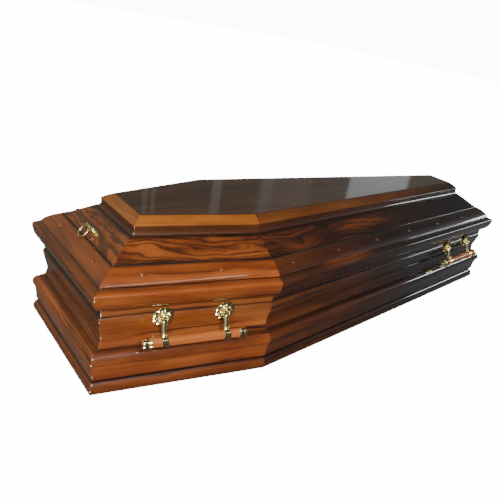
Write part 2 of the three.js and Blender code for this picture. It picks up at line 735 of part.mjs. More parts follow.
// The ring is drawn level with its pin, straight down the slope, and then dips about the pin.
function pullRingGeometry() {
  const wire = [];
  for (let step = 0; step <= WIRE_FACETS; step += 1) {
    const angle = -(TURN * step) / WIRE_FACETS;
    const x = PULL_RING_RADIUS + PULL_WIRE_RADIUS * Math.cos(angle);
    wire.push(new THREE.Vector2(x, PULL_WIRE_RADIUS * -Math.sin(angle)));
  }
  const ring = new THREE.LatheGeometry(wire, RING_FACETS);
  ring.rotateX(QUARTER);
  ring.translate(0, -PULL_RING_HANG, 0);
  const width = 2 * PULL_LUG_SPREAD - PULL_LUG_WIDTH - 2 * GAP;
  const knuckle = cylinderAlongX(PULL_KNUCKLE_RADIUS, width, 0, 0, 0, SMALL_FACETS);
  const pinHole = cylinderAlongX(PULL_PIN_RADIUS + GAP, 2 * width, 0, 0, 0, SMALL_FACETS);
  const geometry = toGeometry(join([ring, knuckle]).subtract(toSolid(pinHole)));
  const fall = PULL_PIN_LIFT - PULL_WIRE_RADIUS - PULL_RING_REST;
  geometry.rotateX(Math.asin(fall / (PULL_RING_HANG + PULL_RING_RADIUS)));
  geometry.translate(0, 0, PULL_PIN_LIFT);
  return geometry;
}

const pullSpot = boardPoint(PULL_SET);
const pullFrame = frameOnSlope(HEAD_END, HEAD_END.length / 2 + PULL_OFF_CENTRE, pullSpot, boardRun);
addMesh(pullFrame, 'ring_pull_base', pullBaseGeometry(), finish.brass);
addMesh(pullFrame, 'ring_pull_ring', pullRingGeometry(), finish.brass);

export default coffin;
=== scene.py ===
"""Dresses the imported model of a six-sided lacquered wooden coffin.

The mouldings are swept again round the coffin's outline with finely rounded sections, and the handles,
screw covers and ring pull are turned and cast in full detail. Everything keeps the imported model's
places and sizes. Sections and fittings are written in millimetres and put into the meshes in metres.
"""

import logging
import math
from dataclasses import dataclass
from enum import Enum

import bmesh
import bpy
import numpy as np
from mathutils import Matrix


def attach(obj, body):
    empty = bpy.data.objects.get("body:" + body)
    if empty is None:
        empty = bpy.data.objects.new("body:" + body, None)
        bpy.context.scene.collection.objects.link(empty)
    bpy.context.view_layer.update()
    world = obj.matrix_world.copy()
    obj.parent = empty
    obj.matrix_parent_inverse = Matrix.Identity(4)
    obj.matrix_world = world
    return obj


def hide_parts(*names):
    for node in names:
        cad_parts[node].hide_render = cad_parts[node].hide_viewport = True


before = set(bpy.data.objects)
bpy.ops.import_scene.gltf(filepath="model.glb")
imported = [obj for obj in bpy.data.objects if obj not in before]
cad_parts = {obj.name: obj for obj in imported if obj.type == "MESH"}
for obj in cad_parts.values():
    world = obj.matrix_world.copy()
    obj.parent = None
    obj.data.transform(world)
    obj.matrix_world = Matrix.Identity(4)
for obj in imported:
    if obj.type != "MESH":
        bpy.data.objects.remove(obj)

LOG = logging.getLogger("coffin")
MM = 0.001
TURN = 2.0 * math.pi
BUMP_STRENGTH = 0.1
SCALAR, VECTOR = "NodeSocketFloat", "NodeSocketVector"
NOISE_RANGE = (0.30, 0.52)
NEAR_BLACK = (0.003, 0.002, 0.002, 1.0)


# Curves of a section. A section is an (n, 2) array of [set, height] in millimetres.


def chain(*parts: object) -> np.ndarray:
    """One profile from lists of points and curves, end to end."""
    return np.vstack(parts)


def quarter(start: tuple, end: tuple, steps: int, level_first: bool) -> np.ndarray:
    """A quarter of an ellipse between two points.

    set and height follow 1 - cos(a) and sin(a) for a from 0 to 90 degrees, or the other way round when
    the curve leaves its start level.

    Args:
        start: First point.
        end: Last point.
        steps: Number of spans.
        level_first: True when the curve leaves its start level and reaches its end upright.

    Returns:
        The (steps + 1, 2) points.
    """
    angle = np.linspace(0.0, math.pi / 2.0, steps + 1)
    slow, fast = 1.0 - np.cos(angle), np.sin(angle)
    run, rise = (fast, slow) if level_first else (slow, fast)
    start_point, end_point = np.array(start, float), np.array(end, float)
    return start_point + (end_point - start_point) * np.stack([run, rise], axis=1)


def smooth_through(stations: list, steps: int) -> np.ndarray:
    """A Catmull-Rom curve through the stations: each span blends its two ends and their neighbours.

    Args:
        stations: Points that the curve passes through.
        steps: Number of spans between each two stations.

    Returns:
        The points of the whole curve.
    """
    points = np.array(stations, float)
    padded = np.vstack([2 * points[0] - points[1], points, 2 * points[-1] - points[-2]])
    t = np.linspace(0.0, 1.0, steps, endpoint=False)[:, None, None]
    a, b, c, d = padded[:-3], padded[1:-2], padded[2:-1], padded[3:]
    square, cube = 2 * a - 5 * b + 4 * c - d, 3 * b - a - 3 * c + d
    curve = 0.5 * (2 * b + (c - a) * t + square * t**2 + cube * t**3)
    return np.vstack([curve.transpose(1, 0, 2).reshape(-1, 2), points[-1]])


def bend(first: np.ndarray, control: np.ndarray, last: np.ndarray, t: np.ndarray) -> np.ndarray:
    """Points of a quadratic curve from first to last, drawn towards its control point."""
    return first * (1 - t) ** 2 + 2 * control * t * (1 - t) + last * t**2


def swollen(start: tuple, end: tuple, bulge: float, steps: int) -> np.ndarray:
    """A face that swells outward in its middle: a quadratic curve whose control point stands out.

    Args:
        start: First point.
        end: Last point.
        bulge: How far the control point stands out, twice the swelling.
        steps: Number of spans.

    Returns:
        The (steps + 1, 2) points.
    """
    a, b = np.array(start, float), np.array(end, float)
    run = (b - a) / np.linalg.norm(b - a)
    middle = (a + b) / 2 + bulge * np.array([run[1], -run[0]])
    return bend(a, middle, b, np.linspace(0.0, 1.0, steps + 1)[:, None])


def soften(points: np.ndarray, radius: float, sharper_than: float = 25.0) -> np.ndarray:
    """Rounds the arrises of a closed section.

    Each corner that turns by more than an angle is replaced by a quadratic curve that starts and ends
    one radius away along its two edges, or 45% of the edge where that is shorter.

    Args:
        points: Closed section, without its first point repeated.
        radius: Rounding in millimetres.
        sharper_than: Corners that turn less than this many degrees are kept.

    Returns:
        The rounded section.
    """
    before, after = np.roll(points, 1, axis=0) - points, np.roll(points, -1, axis=0) - points
    len_before = np.linalg.norm(before, axis=1)[:, None]
    len_after = np.linalg.norm(after, axis=1)[:, None]
    cosine = -np.sum(before * after, axis=1)[:, None] / (len_before * len_after)
    turn = np.degrees(np.arccos(np.clip(cosine, -1.0, 1.0)))
    reach = np.where(turn > sharper_than, radius, 0.0)
    reach = np.minimum(reach, 0.45 * np.minimum(len_before, len_after))
    first = points + before / len_before * reach
    last = points + after / len_after * reach
    t = np.linspace(0.0, 1.0, 5)[None, :, None]
    flat = bend(first[:, None], points[:, None], last[:, None], t).reshape(-1, 2)
    keep = np.linalg.norm(flat - np.roll(flat, 1, axis=0), axis=1) > 1e-3
    return flat[keep]


# Frames, in millimetres.


def basis(x: object, y: object, z: object, place: tuple = (0.0, 0.0, 0.0)) -> np.ndarray:
    """The 4 by 4 matrix of a frame, from its three axes and its place."""
    matrix = np.eye(4)
    matrix[:3] = np.column_stack([x, y, z, place])
    return matrix


def shift(x: float = 0.0, y: float = 0.0, z: float = 0.0) -> np.ndarray:
    """A matrix that moves by x, y and z."""
    return basis(*np.eye(3), (x, y, z))


def turn_about_x(angle: float) -> np.ndarray:
    """A matrix that turns about X by an angle in radians."""
    c, s = math.cos(angle), math.sin(angle)
    return basis((1.0, 0.0, 0.0), (0.0, c, s), (0.0, -s, c))


X_TO_Z = basis((0.0, 0.0, 1.0), (0.0, 1.0, 0.0), (-1.0, 0.0, 0.0))
X_OUT_OF_WALL = basis((0.0, -1.0, 0.0), (0.0, 0.0, -1.0), (1.0, 0.0, 0.0))
PLATE_LAID_FLAT = basis((0.0, 0.0, 1.0), (1.0, 0.0, 0.0), (0.0, 1.0, 0.0))


# The outline.


class Run(Enum):
    """The six sides of the outline, anticlockwise from the near side's short run."""

    NEAR_SHORT = 0
    NEAR_LONG = 1
    FOOT = 2
    FAR_LONG = 3
    FAR_SHORT = 4
    HEAD = 5


@dataclass(frozen=True)
class Outline:
    """The six-sided outline of the foot of the plinth, in millimetres.

    Attributes:
        length: Length over the two ends.
        head_width: Width of the head end.
        shoulder_width: Greatest width.
        foot_width: Width of the foot end.
        shoulder_from_head: Distance of the widest place from the head end.
    """

    length: float = 1990.0
    head_width: float = 474.0
    shoulder_width: float = 698.0
    foot_width: float = 452.0
    shoulder_from_head: float = 521.0

    def corners(self) -> np.ndarray:
        """The six corners, anticlockwise seen from above."""
        head, foot = -self.length / 2, self.length / 2
        shoulder = head + self.shoulder_from_head
        half = [self.head_width / 2, self.shoulder_width / 2, self.foot_width / 2]
        return np.array(
            [
                [head, -half[0]],
                [shoulder, -half[1]],
                [foot, -half[2]],
                [foot, half[2]],
                [shoulder, half[1]],
                [head, half[0]],
            ]
        )

    def along(self) -> np.ndarray:
        """The unit direction of each run."""
        corners = self.corners()
        step = np.roll(corners, -1, axis=0) - corners
        return step / np.linalg.norm(step, axis=1)[:, None]

    def outward(self) -> np.ndarray:
        """The unit outward normal of each run."""
        along = self.along()
        return np.stack([along[:, 1], -along[:, 0]], axis=1)

    def lengths(self) -> np.ndarray:
        """The length of each run."""
        corners = self.corners()
        return np.linalg.norm(np.roll(corners, -1, axis=0) - corners, axis=1)

    def mitres(self) -> np.ndarray:
        """How a corner moves for each unit that both of its sides move outward."""
        after = self.outward()
        before = np.roll(after, 1, axis=0)
        return (before + after) / (1 + np.sum(before * after, axis=1))[:, None]

    def place(
        self, run: Run, along: float, set_out: float, height: float, lean: float = 0.0
    ) -> np.ndarray:
        """The 4 by 4 matrix of a frame on one run, in millimetres.

        Its X lies along the run, -Y points outward and Z up, and the frame then leans back by turning
        about its X, so that on a slope Z stands square out of the face and +Y points up it.

        Args:
            run: The side.
            along: Distance from the run's first corner.
            set_out: Distance outside the outline.
            height: Height above the ground.
            lean: Lean in radians.

        Returns:
            The matrix.
        """
        tangent, normal = self.along()[run.value], self.outward()[run.value]
        spot = self.corners()[run.value] + tangent * along + normal * set_out
        x_axis = np.array([tangent[0], tangent[1], 0.0])
        inward = np.array([-normal[0], -normal[1], 0.0])
        up = np.array([0.0, 0.0, 1.0])
        y_axis = inward * math.cos(lean) + up * math.sin(lean)
        z_axis = up * math.cos(lean) - inward * math.sin(lean)
        return basis(x_axis, y_axis, z_axis, (*spot, height))


OUTLINE = Outline()


# Meshes from arrays.


@dataclass
class Shell:
    """One closed surface as arrays, in millimetres.

    Attributes:
        points: (n, 3) points.
        faces: (m, 4) quads. A quad at a pole repeats its pole point, and merging closes it.
        uv: (m, 4, 2) grain coordinates in metres.
        marks: (m, 4, 2) darkening and glow of the wood, from 0 to 1, or None for neither. The darkening
            is partly the wood's darker tone and partly painted shade, and the glow partly painted light.
    """

    points: np.ndarray
    faces: np.ndarray
    uv: np.ndarray
    marks: np.ndarray | None = None

    def moved(self, matrix: np.ndarray) -> "Shell":
        """The same shell in the place that a 4 by 4 matrix gives."""
        return Shell(self.points @ matrix[:3, :3].T + matrix[:3, 3], self.faces, self.uv, self.marks)

    def darkened(self, share: float) -> "Shell":
        """The same shell with painted shade darkening its wood by a share from 0 to 1."""
        marks = np.zeros_like(self.uv)
        marks[..., 0] = share
        return Shell(self.points, self.faces, self.uv, marks)


def grid_faces(rows: int, columns: int, wrap_rows: bool) -> np.ndarray:
    """Quads of a grid of points stored row by row, closed across its columns.

    Args:
        rows: Number of rows.
        columns: Points in a row. The last joins the first.
        wrap_rows: True when the last row joins the first.

    Returns:
        The (n, 4) indices.
    """
    row = np.arange(rows if wrap_rows else rows - 1)[:, None]
    column = np.arange(columns)[None, :]
    next_row, next_column = (row + 1) % rows, (column + 1) % columns
    quads = [row * columns + column, next_row * columns + column]
    quads += [next_row * columns + next_column, row * columns + next_column]
    return np.stack(quads, axis=-1).reshape(-1, 4)


def turned(profile: np.ndarray, segments: int, squash: float = 1.0) -> Shell:
    """A surface turned about X: point (x, r cos a, r sin a) for each [x, r] of the profile.

    Args:
        profile: (n, 2) points of [x, radius]. It starts and ends on the axis, or closes on itself.
        segments: Number of steps round the axis.
        squash: Factor on the depth, for an oval section.

    Returns:
        The shell, whose grain runs along X.
    """
    closed = np.allclose(profile[0], profile[-1])
    rings = profile[:-1] if closed else profile
    angle = np.linspace(0.0, TURN, segments, endpoint=False)
    x = np.repeat(rings[:, :1], segments, axis=1)
    points = np.stack([x, rings[:, 1:] * np.cos(angle) * squash, rings[:, 1:] * np.sin(angle)], axis=-1)
    faces = grid_faces(len(rings), segments, closed)
    around = angle * max(rings[:, 1].max(), 1.0) * MM
    grain = np.stack([x * MM, np.broadcast_to(around, x.shape)], axis=-1).reshape(-1, 2)
    return Shell(points.reshape(-1, 3), faces, grain[faces])


def slab(outline: np.ndarray, thickness: float, bevel: float) -> Shell:
    """A plate with a convex outline and softened edges, centred on X = 0.

    Layers of the outline stand across X. Each layer is the outline drawn in towards its middle, fully
    at the two faces' centres, by the bevel at the faces' edges and not at all between.

    Args:
        outline: (n, 2) points of [y, z], anticlockwise seen from +X.
        thickness: Size along X.
        bevel: Softening of the edges.

    Returns:
        The shell.
    """
    middle = outline.mean(axis=0)
    reach = np.linalg.norm(outline - middle, axis=1).mean()
    half, part = thickness / 2, 0.3 * bevel
    side = [(half, 0.0), (half, 1.0 - bevel / reach), (half - part, 1.0 - part / reach)]
    side.append((half - bevel, 1.0))
    levels = np.array([(-x, share) for x, share in side] + side[::-1])
    layer = middle + (outline - middle)[None] * levels[:, 1, None, None]
    x = np.broadcast_to(levels[:, :1, None], layer[..., :1].shape)
    points = np.concatenate([x, layer], axis=-1).reshape(-1, 3)
    faces = grid_faces(len(levels), len(outline), False)
    return Shell(points, faces, points[faces][..., :2] * MM)


def make_object(
    name: str, shells: list, material: bpy.types.Material, smooth_below: float = 40.0
) -> bpy.types.Object:
    """Puts shells into one mesh object in metres.

    Args:
        name: The piece's name.
        shells: Closed shells in millimetres.
        material: Its finish.
        smooth_below: Edges that turn less than this many degrees are shaded smooth.

    Returns:
        The object, at the origin.
    """
    offsets = np.cumsum([0] + [len(s.points) for s in shells[:-1]])
    points = np.concatenate([s.points for s in shells]) * MM
    faces = np.concatenate([s.faces + o for s, o in zip(shells, offsets)])
    uv = np.concatenate([s.uv for s in shells])
    marks = np.concatenate([np.zeros_like(s.uv) if s.marks is None else s.marks for s in shells])
    mesh = bpy.data.meshes.new(name)
    mesh.vertices.add(len(points))
    mesh.vertices.foreach_set("co", points.astype(np.float32).ravel())
    mesh.loops.add(faces.size)
    mesh.loops.foreach_set("vertex_index", faces.astype(np.int32).ravel())
    mesh.polygons.add(len(faces))
    mesh.polygons.foreach_set("loop_start", np.arange(len(faces), dtype=np.int32) * 4)
    for label, values in (("Grain", uv), ("Marks", marks)):
        layer = mesh.uv_layers.new(name=label)
        layer.data.foreach_set("uv", values.astype(np.float32).ravel())
    mesh.update(calc_edges=True)
    mesh.validate()
    work = bmesh.new()
    work.from_mesh(mesh)
    bmesh.ops.remove_doubles(work, verts=work.verts, dist=2e-6)
    bmesh.ops.dissolve_degenerate(work, dist=1e-7, edges=work.edges)
    bmesh.ops.recalc_face_normals(work, faces=work.faces)
    work.to_mesh(mesh)
    work.free()
    mesh.shade_smooth()
    mesh.set_sharp_from_angle(angle=math.radians(smooth_below))
    mesh.materials.append(material)
    piece = bpy.data.objects.new(name, mesh)
    bpy.context.scene.collection.objects.link(piece)
    LOG.info("%s: %d faces", name, len(mesh.polygons))
    return piece


def hand_over(piece: bpy.types.Object, body: str, slot: str, *nodes: str) -> None:
    """Lets a piece ride on its body and stand for its nodes."""
    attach(piece, body)
    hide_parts(*nodes)


# Shader nodes.


class Canvas:
    """A small helper that adds and joins nodes in one tree."""

    def __init__(self, tree: bpy.types.NodeTree) -> None:
        """Keeps the tree."""
        self.tree = tree

    def add(self, kind: str, **settings: object) -> bpy.types.Node:
        """Adds a node and sets its properties."""
        node = self.tree.nodes.new(kind)
        for key, value in settings.items():
            setattr(node, key, value)
        return node

    def put(self, value: object, socket: bpy.types.NodeSocket) -> None:
        """Links an output socket to an input, or sets a plain value on it."""
        if isinstance(value, bpy.types.NodeSocket):
            self.tree.links.new(value, socket)
        else:
            socket.default_value = value

    def math(self, operation: str, a: object, b: object = 0.0, c: object = 0.0) -> bpy.types.NodeSocket:
        """One Math node's output."""
        node = self.add("ShaderNodeMath", operation=operation)
        for value, socket in zip((a, b, c), node.inputs):
            self.put(value, socket)
        return node.outputs[0]

    def stretch(
        self, vector: object, scale: tuple, offset: tuple = (0.0, 0.0, 0.0)
    ) -> bpy.types.NodeSocket:
        """A vector times a scale plus an offset."""
        node = self.add("ShaderNodeVectorMath", operation="MULTIPLY_ADD")
        self.put(vector, node.inputs[0])
        node.inputs[1].default_value = scale
        self.put(offset, node.inputs[2])
        return node.outputs[0]

    def noise(
        self, vector: object, scale: float, detail: float, rough: float = 0.5
    ) -> bpy.types.NodeSocket:
        """A noise texture's value."""
        node = self.add("ShaderNodeTexNoise")
        self.put(vector, node.inputs["Vector"])
        settle(node, {"Scale": scale, "Detail": detail, "Roughness": rough})
        return node.outputs["Fac"]

    def ramp(self, value: object, low: float, high: float) -> bpy.types.NodeSocket:
        """A value's smooth rise from 0 at low to 1 at high."""
        node = self.add("ShaderNodeMapRange", interpolation_type="SMOOTHSTEP")
        self.put(value, node.inputs["Value"])
        settle(node, {"From Min": low, "From Max": high})
        return node.outputs["Result"]

    def blend(self, factor: object, first: object, second: object) -> bpy.types.NodeSocket:
        """A mix of two colours."""
        node = self.add("ShaderNodeMix", data_type="RGBA")
        node.clamp_factor = True
        self.put(factor, node.inputs[0])
        self.put(first, node.inputs[6])
        self.put(second, node.inputs[7])
        return node.outputs[2]

    def near(self, way: object, bearing: tuple, low: float, high: float) -> bpy.types.NodeSocket:
        """A mask that rises from 0 to 1 as the cosine of a way to a bearing goes from low to high."""
        node = self.add("ShaderNodeVectorMath", operation="DOT_PRODUCT")
        self.put(way, node.inputs[0])
        node.inputs[1].default_value = bearing
        return self.ramp(node.outputs["Value"], low, high)

    def bump(self, height: object, distance: float, *normals: bpy.types.NodeSocket) -> None:
        """Feeds a height to some Normal inputs, with its size in metres at full strength."""
        node = self.add("ShaderNodeBump")
        settle(node, {"Strength": BUMP_STRENGTH, "Distance": distance})
        self.put(height, node.inputs["Height"])
        for normal in normals:
            self.put(node.outputs[0], normal)

    def effect(
        self, group: bpy.types.NodeTree, coordinates: str, values: dict | None = None
    ) -> bpy.types.Node:
        """A shared effect that reads Object coordinates, or the UV map of the given name.

        Args:
            group: The node group, whose first input takes the coordinates.
            coordinates: "Object" or the name of a UV map.
            values: Values of its other inputs.

        Returns:
            The group's node.
        """
        node = self.add("ShaderNodeGroup", node_tree=group)
        if coordinates == "Object":
            source = self.add("ShaderNodeTexCoord").outputs["Object"]
        else:
            source = self.add("ShaderNodeUVMap", uv_map=coordinates).outputs[0]
        self.put(source, node.inputs[0])
        settle(node, values or {})
        return node


def settle(node: bpy.types.Node, values: dict) -> None:
    """Sets the values of some of a node's inputs."""
    for label, value in values.items():
        node.inputs[label].default_value = value


def new_material(label: str) -> tuple:
    """A material, the canvas of its nodes and its Principled shader."""
    material = bpy.data.materials.new(label)
    material.use_nodes = True
    return material, Canvas(material.node_tree), material.node_tree.nodes["Principled BSDF"]


def colour(red: float, green: float, blue: float) -> tuple:
    """A screen colour from 0 to 255 as a linear colour with full alpha."""
    screen = np.array([red, green, blue]) / 255.0
    linear = np.where(screen <= 0.04045, screen / 12.92, ((screen + 0.055) / 1.055) ** 2.4)
    return (float(linear[0]), float(linear[1]), float(linear[2]), 1.0)


def new_group(name: str, inputs: dict, outputs: dict) -> tuple:
    """A shader node group with named sockets.

    Args:
        name: The group's name.
        inputs: Socket name to socket type.
        outputs: Socket name to socket type.

    Returns:
        The tree, its canvas, its input node and its output node.
    """
    tree = bpy.data.node_groups.new(name, "ShaderNodeTree")
    for side, sockets in (("INPUT", inputs), ("OUTPUT", outputs)):
        for label, kind in sockets.items():
            tree.interface.new_socket(name=label, in_out=side, socket_type=kind)
    canvas = Canvas(tree)
    return tree, canvas, canvas.add("NodeGroupInput"), canvas.add("NodeGroupOutput")


class SharedEffects:
    """The node groups that several finishes use."""

    def __init__(self) -> None:
        """Builds the groups."""
        self.figure = self._figure()
        self.lacquer = self._lacquer()
        self.tarnish = self._tarnish()

    def _figure(self) -> bpy.types.NodeTree:
        """Wood figure on grain coordinates, x along the grain and y across it, in metres.

        Two slow noises bend the grain across its length. Bands and streaks are noise drawn out along
        the bent grain, rings are the thin dark crests of a sine across it, and fibres are finer noise.

        Returns:
            The group, with the outputs Bands, Streaks, Rings, Fibres and Clouds.
        """
        tree, canvas, inside, outside = new_group(
            "wood_figure",
            {"Grain": VECTOR, "Ring Density": SCALAR, "Waviness": SCALAR},
            dict.fromkeys(("Bands", "Streaks", "Rings", "Fibres", "Clouds"), SCALAR),
        )
        grain = inside.outputs["Grain"]
        drift = 0.0
        for scale, push in (((2.4, 9.0, 1.0), 0.045), ((11.0, 30.0, 1.0), 0.012)):
            wave = canvas.math("SUBTRACT", canvas.noise(canvas.stretch(grain, scale), 1.0, 2.0), 0.5)
            drift = canvas.math("MULTIPLY_ADD", wave, push, drift)
        drift = canvas.math("MULTIPLY", drift, inside.outputs["Waviness"])
        split = canvas.add("ShaderNodeSeparateXYZ")
        canvas.put(grain, split.inputs[0])
        across = canvas.math("ADD", drift, split.outputs["Y"])
        bent = canvas.add("ShaderNodeCombineXYZ")
        canvas.put(split.outputs["X"], bent.inputs[0])
        canvas.put(across, bent.inputs[1])
        bent_grain = bent.outputs[0]
        rings = canvas.math("MULTIPLY", across, inside.outputs["Ring Density"])
        phase = canvas.math("MULTIPLY", rings, TURN)
        wobble = canvas.noise(canvas.stretch(bent_grain, (2.0, 26.0, 1.0)), 1.0, 3.0)
        phase = canvas.math("MULTIPLY_ADD", wobble, 9.0, phase)
        crest = canvas.math("MULTIPLY_ADD", canvas.math("SINE", phase), 0.5, 0.5)
        canvas.put(canvas.math("POWER", crest, 3.0), outside.inputs["Rings"])
        start = (0.0, 0.0, 0.0)
        layers = (
            ("Bands", (0.8, 15.0, 1.0), start, 2.0, 0.45),
            ("Streaks", (1.3, 62.0, 1.0), (4.0, 9.0, 0.0), 4.0, 0.6),
            ("Fibres", (16.0, 800.0, 1.0), start, 3.0, 0.6),
            ("Clouds", (4.5, 11.0, 1.0), (7.0, 3.0, 0.0), 2.0, 0.5),
        )
        for label, scale, offset, detail, rough in layers:
            layer = canvas.noise(canvas.stretch(bent_grain, scale, offset), 1.0, detail, rough)
            canvas.put(layer, outside.inputs[label])
        return tree

    def _lacquer(self) -> bpy.types.NodeTree:
        """Height of a polished lacquer film: a slow swell over the boards and a faint fine ripple.

        Returns:
            The group, with the output Height.
        """
        tree, canvas, inside, outside = new_group(
            "lacquer_film", {"Place": VECTOR}, {"Height": SCALAR}
        )
        swell = canvas.noise(inside.outputs["Place"], 7.0, 2.0)
        peel = canvas.noise(inside.outputs["Place"], 160.0, 1.0)
        canvas.put(canvas.math("MULTIPLY_ADD", peel, 0.02, swell), outside.inputs["Height"])
        return tree

    def _tarnish(self) -> bpy.types.NodeTree:
        """Mask of dull and bright patches on polished metal.

        Returns:
            The group, with the outputs Dull and Height.
        """
        tree, canvas, inside, outside = new_group(
            "metal_tarnish", {"Place": VECTOR, "Amount": SCALAR}, {"Dull": SCALAR, "Height": SCALAR}
        )
        patches = canvas.noise(inside.outputs["Place"], 90.0, 4.0, 0.6)
        dull = canvas.math("MULTIPLY", canvas.ramp(patches, 0.42, 0.72), inside.outputs["Amount"])
        canvas.put(dull, outside.inputs["Dull"])
        canvas.put(canvas.noise(inside.outputs["Place"], 420.0, 2.0), outside.inputs["Height"])
        return tree


@dataclass(frozen=True)
class WoodFinish:
    """A wood finish: three wood colours, its figure and its film.

    Attributes:
        label: The material's name.
        dark: Colour of the dark streaks and rings, 0 to 255 like the next two.
        middle: The usual colour.
        light: Colour of the light bands and of the glowing patches, which are partly painted light.
        ring_density: Growth rings a metre across the grain.
        rings: How much the rings show.
        bands: How much the broad dark bands show.
        streaks: How much the thin dark streaks show.
        cover: Share of the noise that the bands and streaks take up.
        waviness: How far the grain wanders.
        lacquer: Weight of the clear coat.
        under_roughness: Roughness of the wood under the coat.
    """

    label: str
    dark: tuple
    middle: tuple
    light: tuple
    ring_density: float = 40.0
    rings: float = 0.2
    bands: float = 0.5
    streaks: float = 0.7
    cover: float = 0.5
    waviness: float = 1.0
    lacquer: float = 1.0
    under_roughness: float = 0.45

    def build(self, effects: SharedEffects) -> bpy.types.Material:
        """Makes the material.

        Args:
            effects: The shared groups.

        Returns:
            The material.
        """
        material, canvas, shader = new_material(self.label)
        dark, middle, light = (colour(*tint) for tint in (self.dark, self.middle, self.light))
        values = {"Ring Density": self.ring_density, "Waviness": self.waviness}
        figure = canvas.effect(effects.figure, "Grain", values)
        marks = canvas.add("ShaderNodeSeparateXYZ")
        canvas.put(canvas.add("ShaderNodeUVMap", uv_map="Marks").outputs[0], marks.inputs[0])
        darkening, glow = marks.outputs["X"], marks.outputs["Y"]
        base = canvas.blend(canvas.ramp(figure.outputs["Clouds"], 0.35, 0.68), middle, light)
        low, high = NOISE_RANGE
        edge = low + (high - low) * self.cover
        for name, amount, soft in (("Bands", self.bands, 0.12), ("Streaks", self.streaks, 0.055)):
            clear = canvas.ramp(figure.outputs[name], edge - soft, edge + soft)
            mask = canvas.math("MULTIPLY", canvas.math("SUBTRACT", 1.0, clear), amount)
            base = canvas.blend(mask, base, dark)
        rings = canvas.math("MULTIPLY", figure.outputs["Rings"], self.rings)
        base = canvas.blend(rings, base, dark)
        fibres = canvas.math("SUBTRACT", 1.0, canvas.ramp(figure.outputs["Fibres"], 0.3, 0.7))
        base = canvas.blend(canvas.math("MULTIPLY", fibres, 0.22), base, dark)
        # Painted shade, together with the wood's darker tone: the darkening of the Marks map pulls the
        # colour towards near black.
        base = canvas.blend(darkening, base, canvas.blend(0.85, dark, NEAR_BLACK))
        # Painted light, together with lighter figure: the glow of the Marks map turns the wood to its
        # light colour.
        rings = canvas.math("MULTIPLY", figure.outputs["Rings"], 0.7)
        base = canvas.blend(glow, base, canvas.blend(rings, light, dark))
        canvas.put(base, shader.inputs["Base Color"])
        settle(
            shader,
            {
                "Roughness": self.under_roughness,
                "Specular IOR Level": 0.25,
                "Coat Weight": self.lacquer,
                "Coat Roughness": 0.03,
                "Coat IOR": 1.55,
            },
        )
        film = canvas.effect(effects.lacquer, "Object").outputs["Height"]
        canvas.bump(film, 0.002, shader.inputs["Normal"], shader.inputs["Coat Normal"])
        return material


@dataclass(frozen=True)
class BrassFinish:
    """Polished brass with faint dull patches.

    Attributes:
        label: The material's name.
        bright: Colour of the polished metal.
        dull: Colour of the tarnished patches.
        polish: Roughness where it is bright.
    """

    label: str = "polished_brass"
    bright: tuple = (0.98, 0.88, 0.48, 1.0)
    dull: tuple = (0.46, 0.36, 0.11, 1.0)
    polish: float = 0.09

    def build(self, effects: SharedEffects) -> bpy.types.Material:
        """Makes the material.

        Args:
            effects: The shared groups.

        Returns:
            The material.
        """
        material, canvas, shader = new_material(self.label)
        tarnish = canvas.effect(effects.tarnish, "Object", {"Amount": 0.7})
        dull = tarnish.outputs["Dull"]
        canvas.put(canvas.blend(dull, self.bright, self.dull), shader.inputs["Base Color"])
        canvas.put(canvas.math("MULTIPLY_ADD", dull, 0.25, self.polish), shader.inputs["Roughness"])
        shader.inputs["Metallic"].default_value = 1.0
        canvas.bump(tarnish.outputs["Height"], 0.0004, shader.inputs["Normal"])
        return material


class Palette:
    """Every finish of the coffin."""

    def __init__(self) -> None:
        """Builds the shared groups and the materials."""
        effects = SharedEffects()
        side = WoodFinish(
            "side_lacquered_wood", (48, 15, 5), (140, 72, 26), (166, 95, 42),
            bands=0.6, streaks=1.0, cover=0.52,
        )
        rail = WoodFinish(
            "band_lacquered_wood", (62, 20, 6), (146, 70, 21), (172, 92, 34),
            bands=0.5, streaks=0.75, cover=0.46,
        )
        moulding = WoodFinish(
            "moulding_lacquered_wood", (44, 14, 5), (146, 72, 25), (170, 92, 38),
            bands=0.6, streaks=0.85, cover=0.52,
        )
        figured = WoodFinish(
            "figured_lacquered_wood", (24, 7, 3), (100, 47, 18), (150, 80, 30),
            ring_density=52.0, rings=0.8, bands=0.7, streaks=0.9, cover=0.55, waviness=3.4,
        )
        border = WoodFinish(
            "border_lacquered_wood", (78, 28, 7), (148, 84, 27), (170, 104, 38),
            rings=0.1, bands=0.45, streaks=0.5, cover=0.48,
        )
        top = WoodFinish("top_lacquered_wood", (30, 16, 9), (58, 34, 20), (74, 46, 28))
        bare = WoodFinish(
            "bare_board", (120, 86, 54), (176, 140, 98), (196, 162, 120),
            lacquer=0.0, under_roughness=0.7,
        )
        bar = WoodFinish(
            "satin_wood", (120, 56, 24), (184, 104, 52), (202, 124, 68),
            rings=0.1, bands=0.3, streaks=0.4, cover=0.35, lacquer=0.35, under_roughness=0.3,
        )
        self.side, self.rail, self.moulding, self.figured, self.border, self.top, self.bare, self.bar = (
            wood.build(effects) for wood in (side, rail, moulding, figured, border, top, bare, bar)
        )
        self.brass = BrassFinish().build(effects)


# Mouldings.


@dataclass(frozen=True)
class Eye:
    """A swirl or lighter patch in the figure of one run of a board, or a band of painted light.

    Attributes:
        run: The side that it is on.
        along: Its distance from the run's first corner, in metres.
        across: Its place across the section, in metres.
        reach: Its half length and half width, in metres.
        lift: How far it pushes the rings across the grain, in metres.
        glow: How far it turns the wood to its light colour, from 0 to 1: lighter figure, or painted
            light where the lights leave a face dark.
    """

    run: Run
    along: float
    across: float
    reach: tuple
    lift: float
    glow: float = 0.0


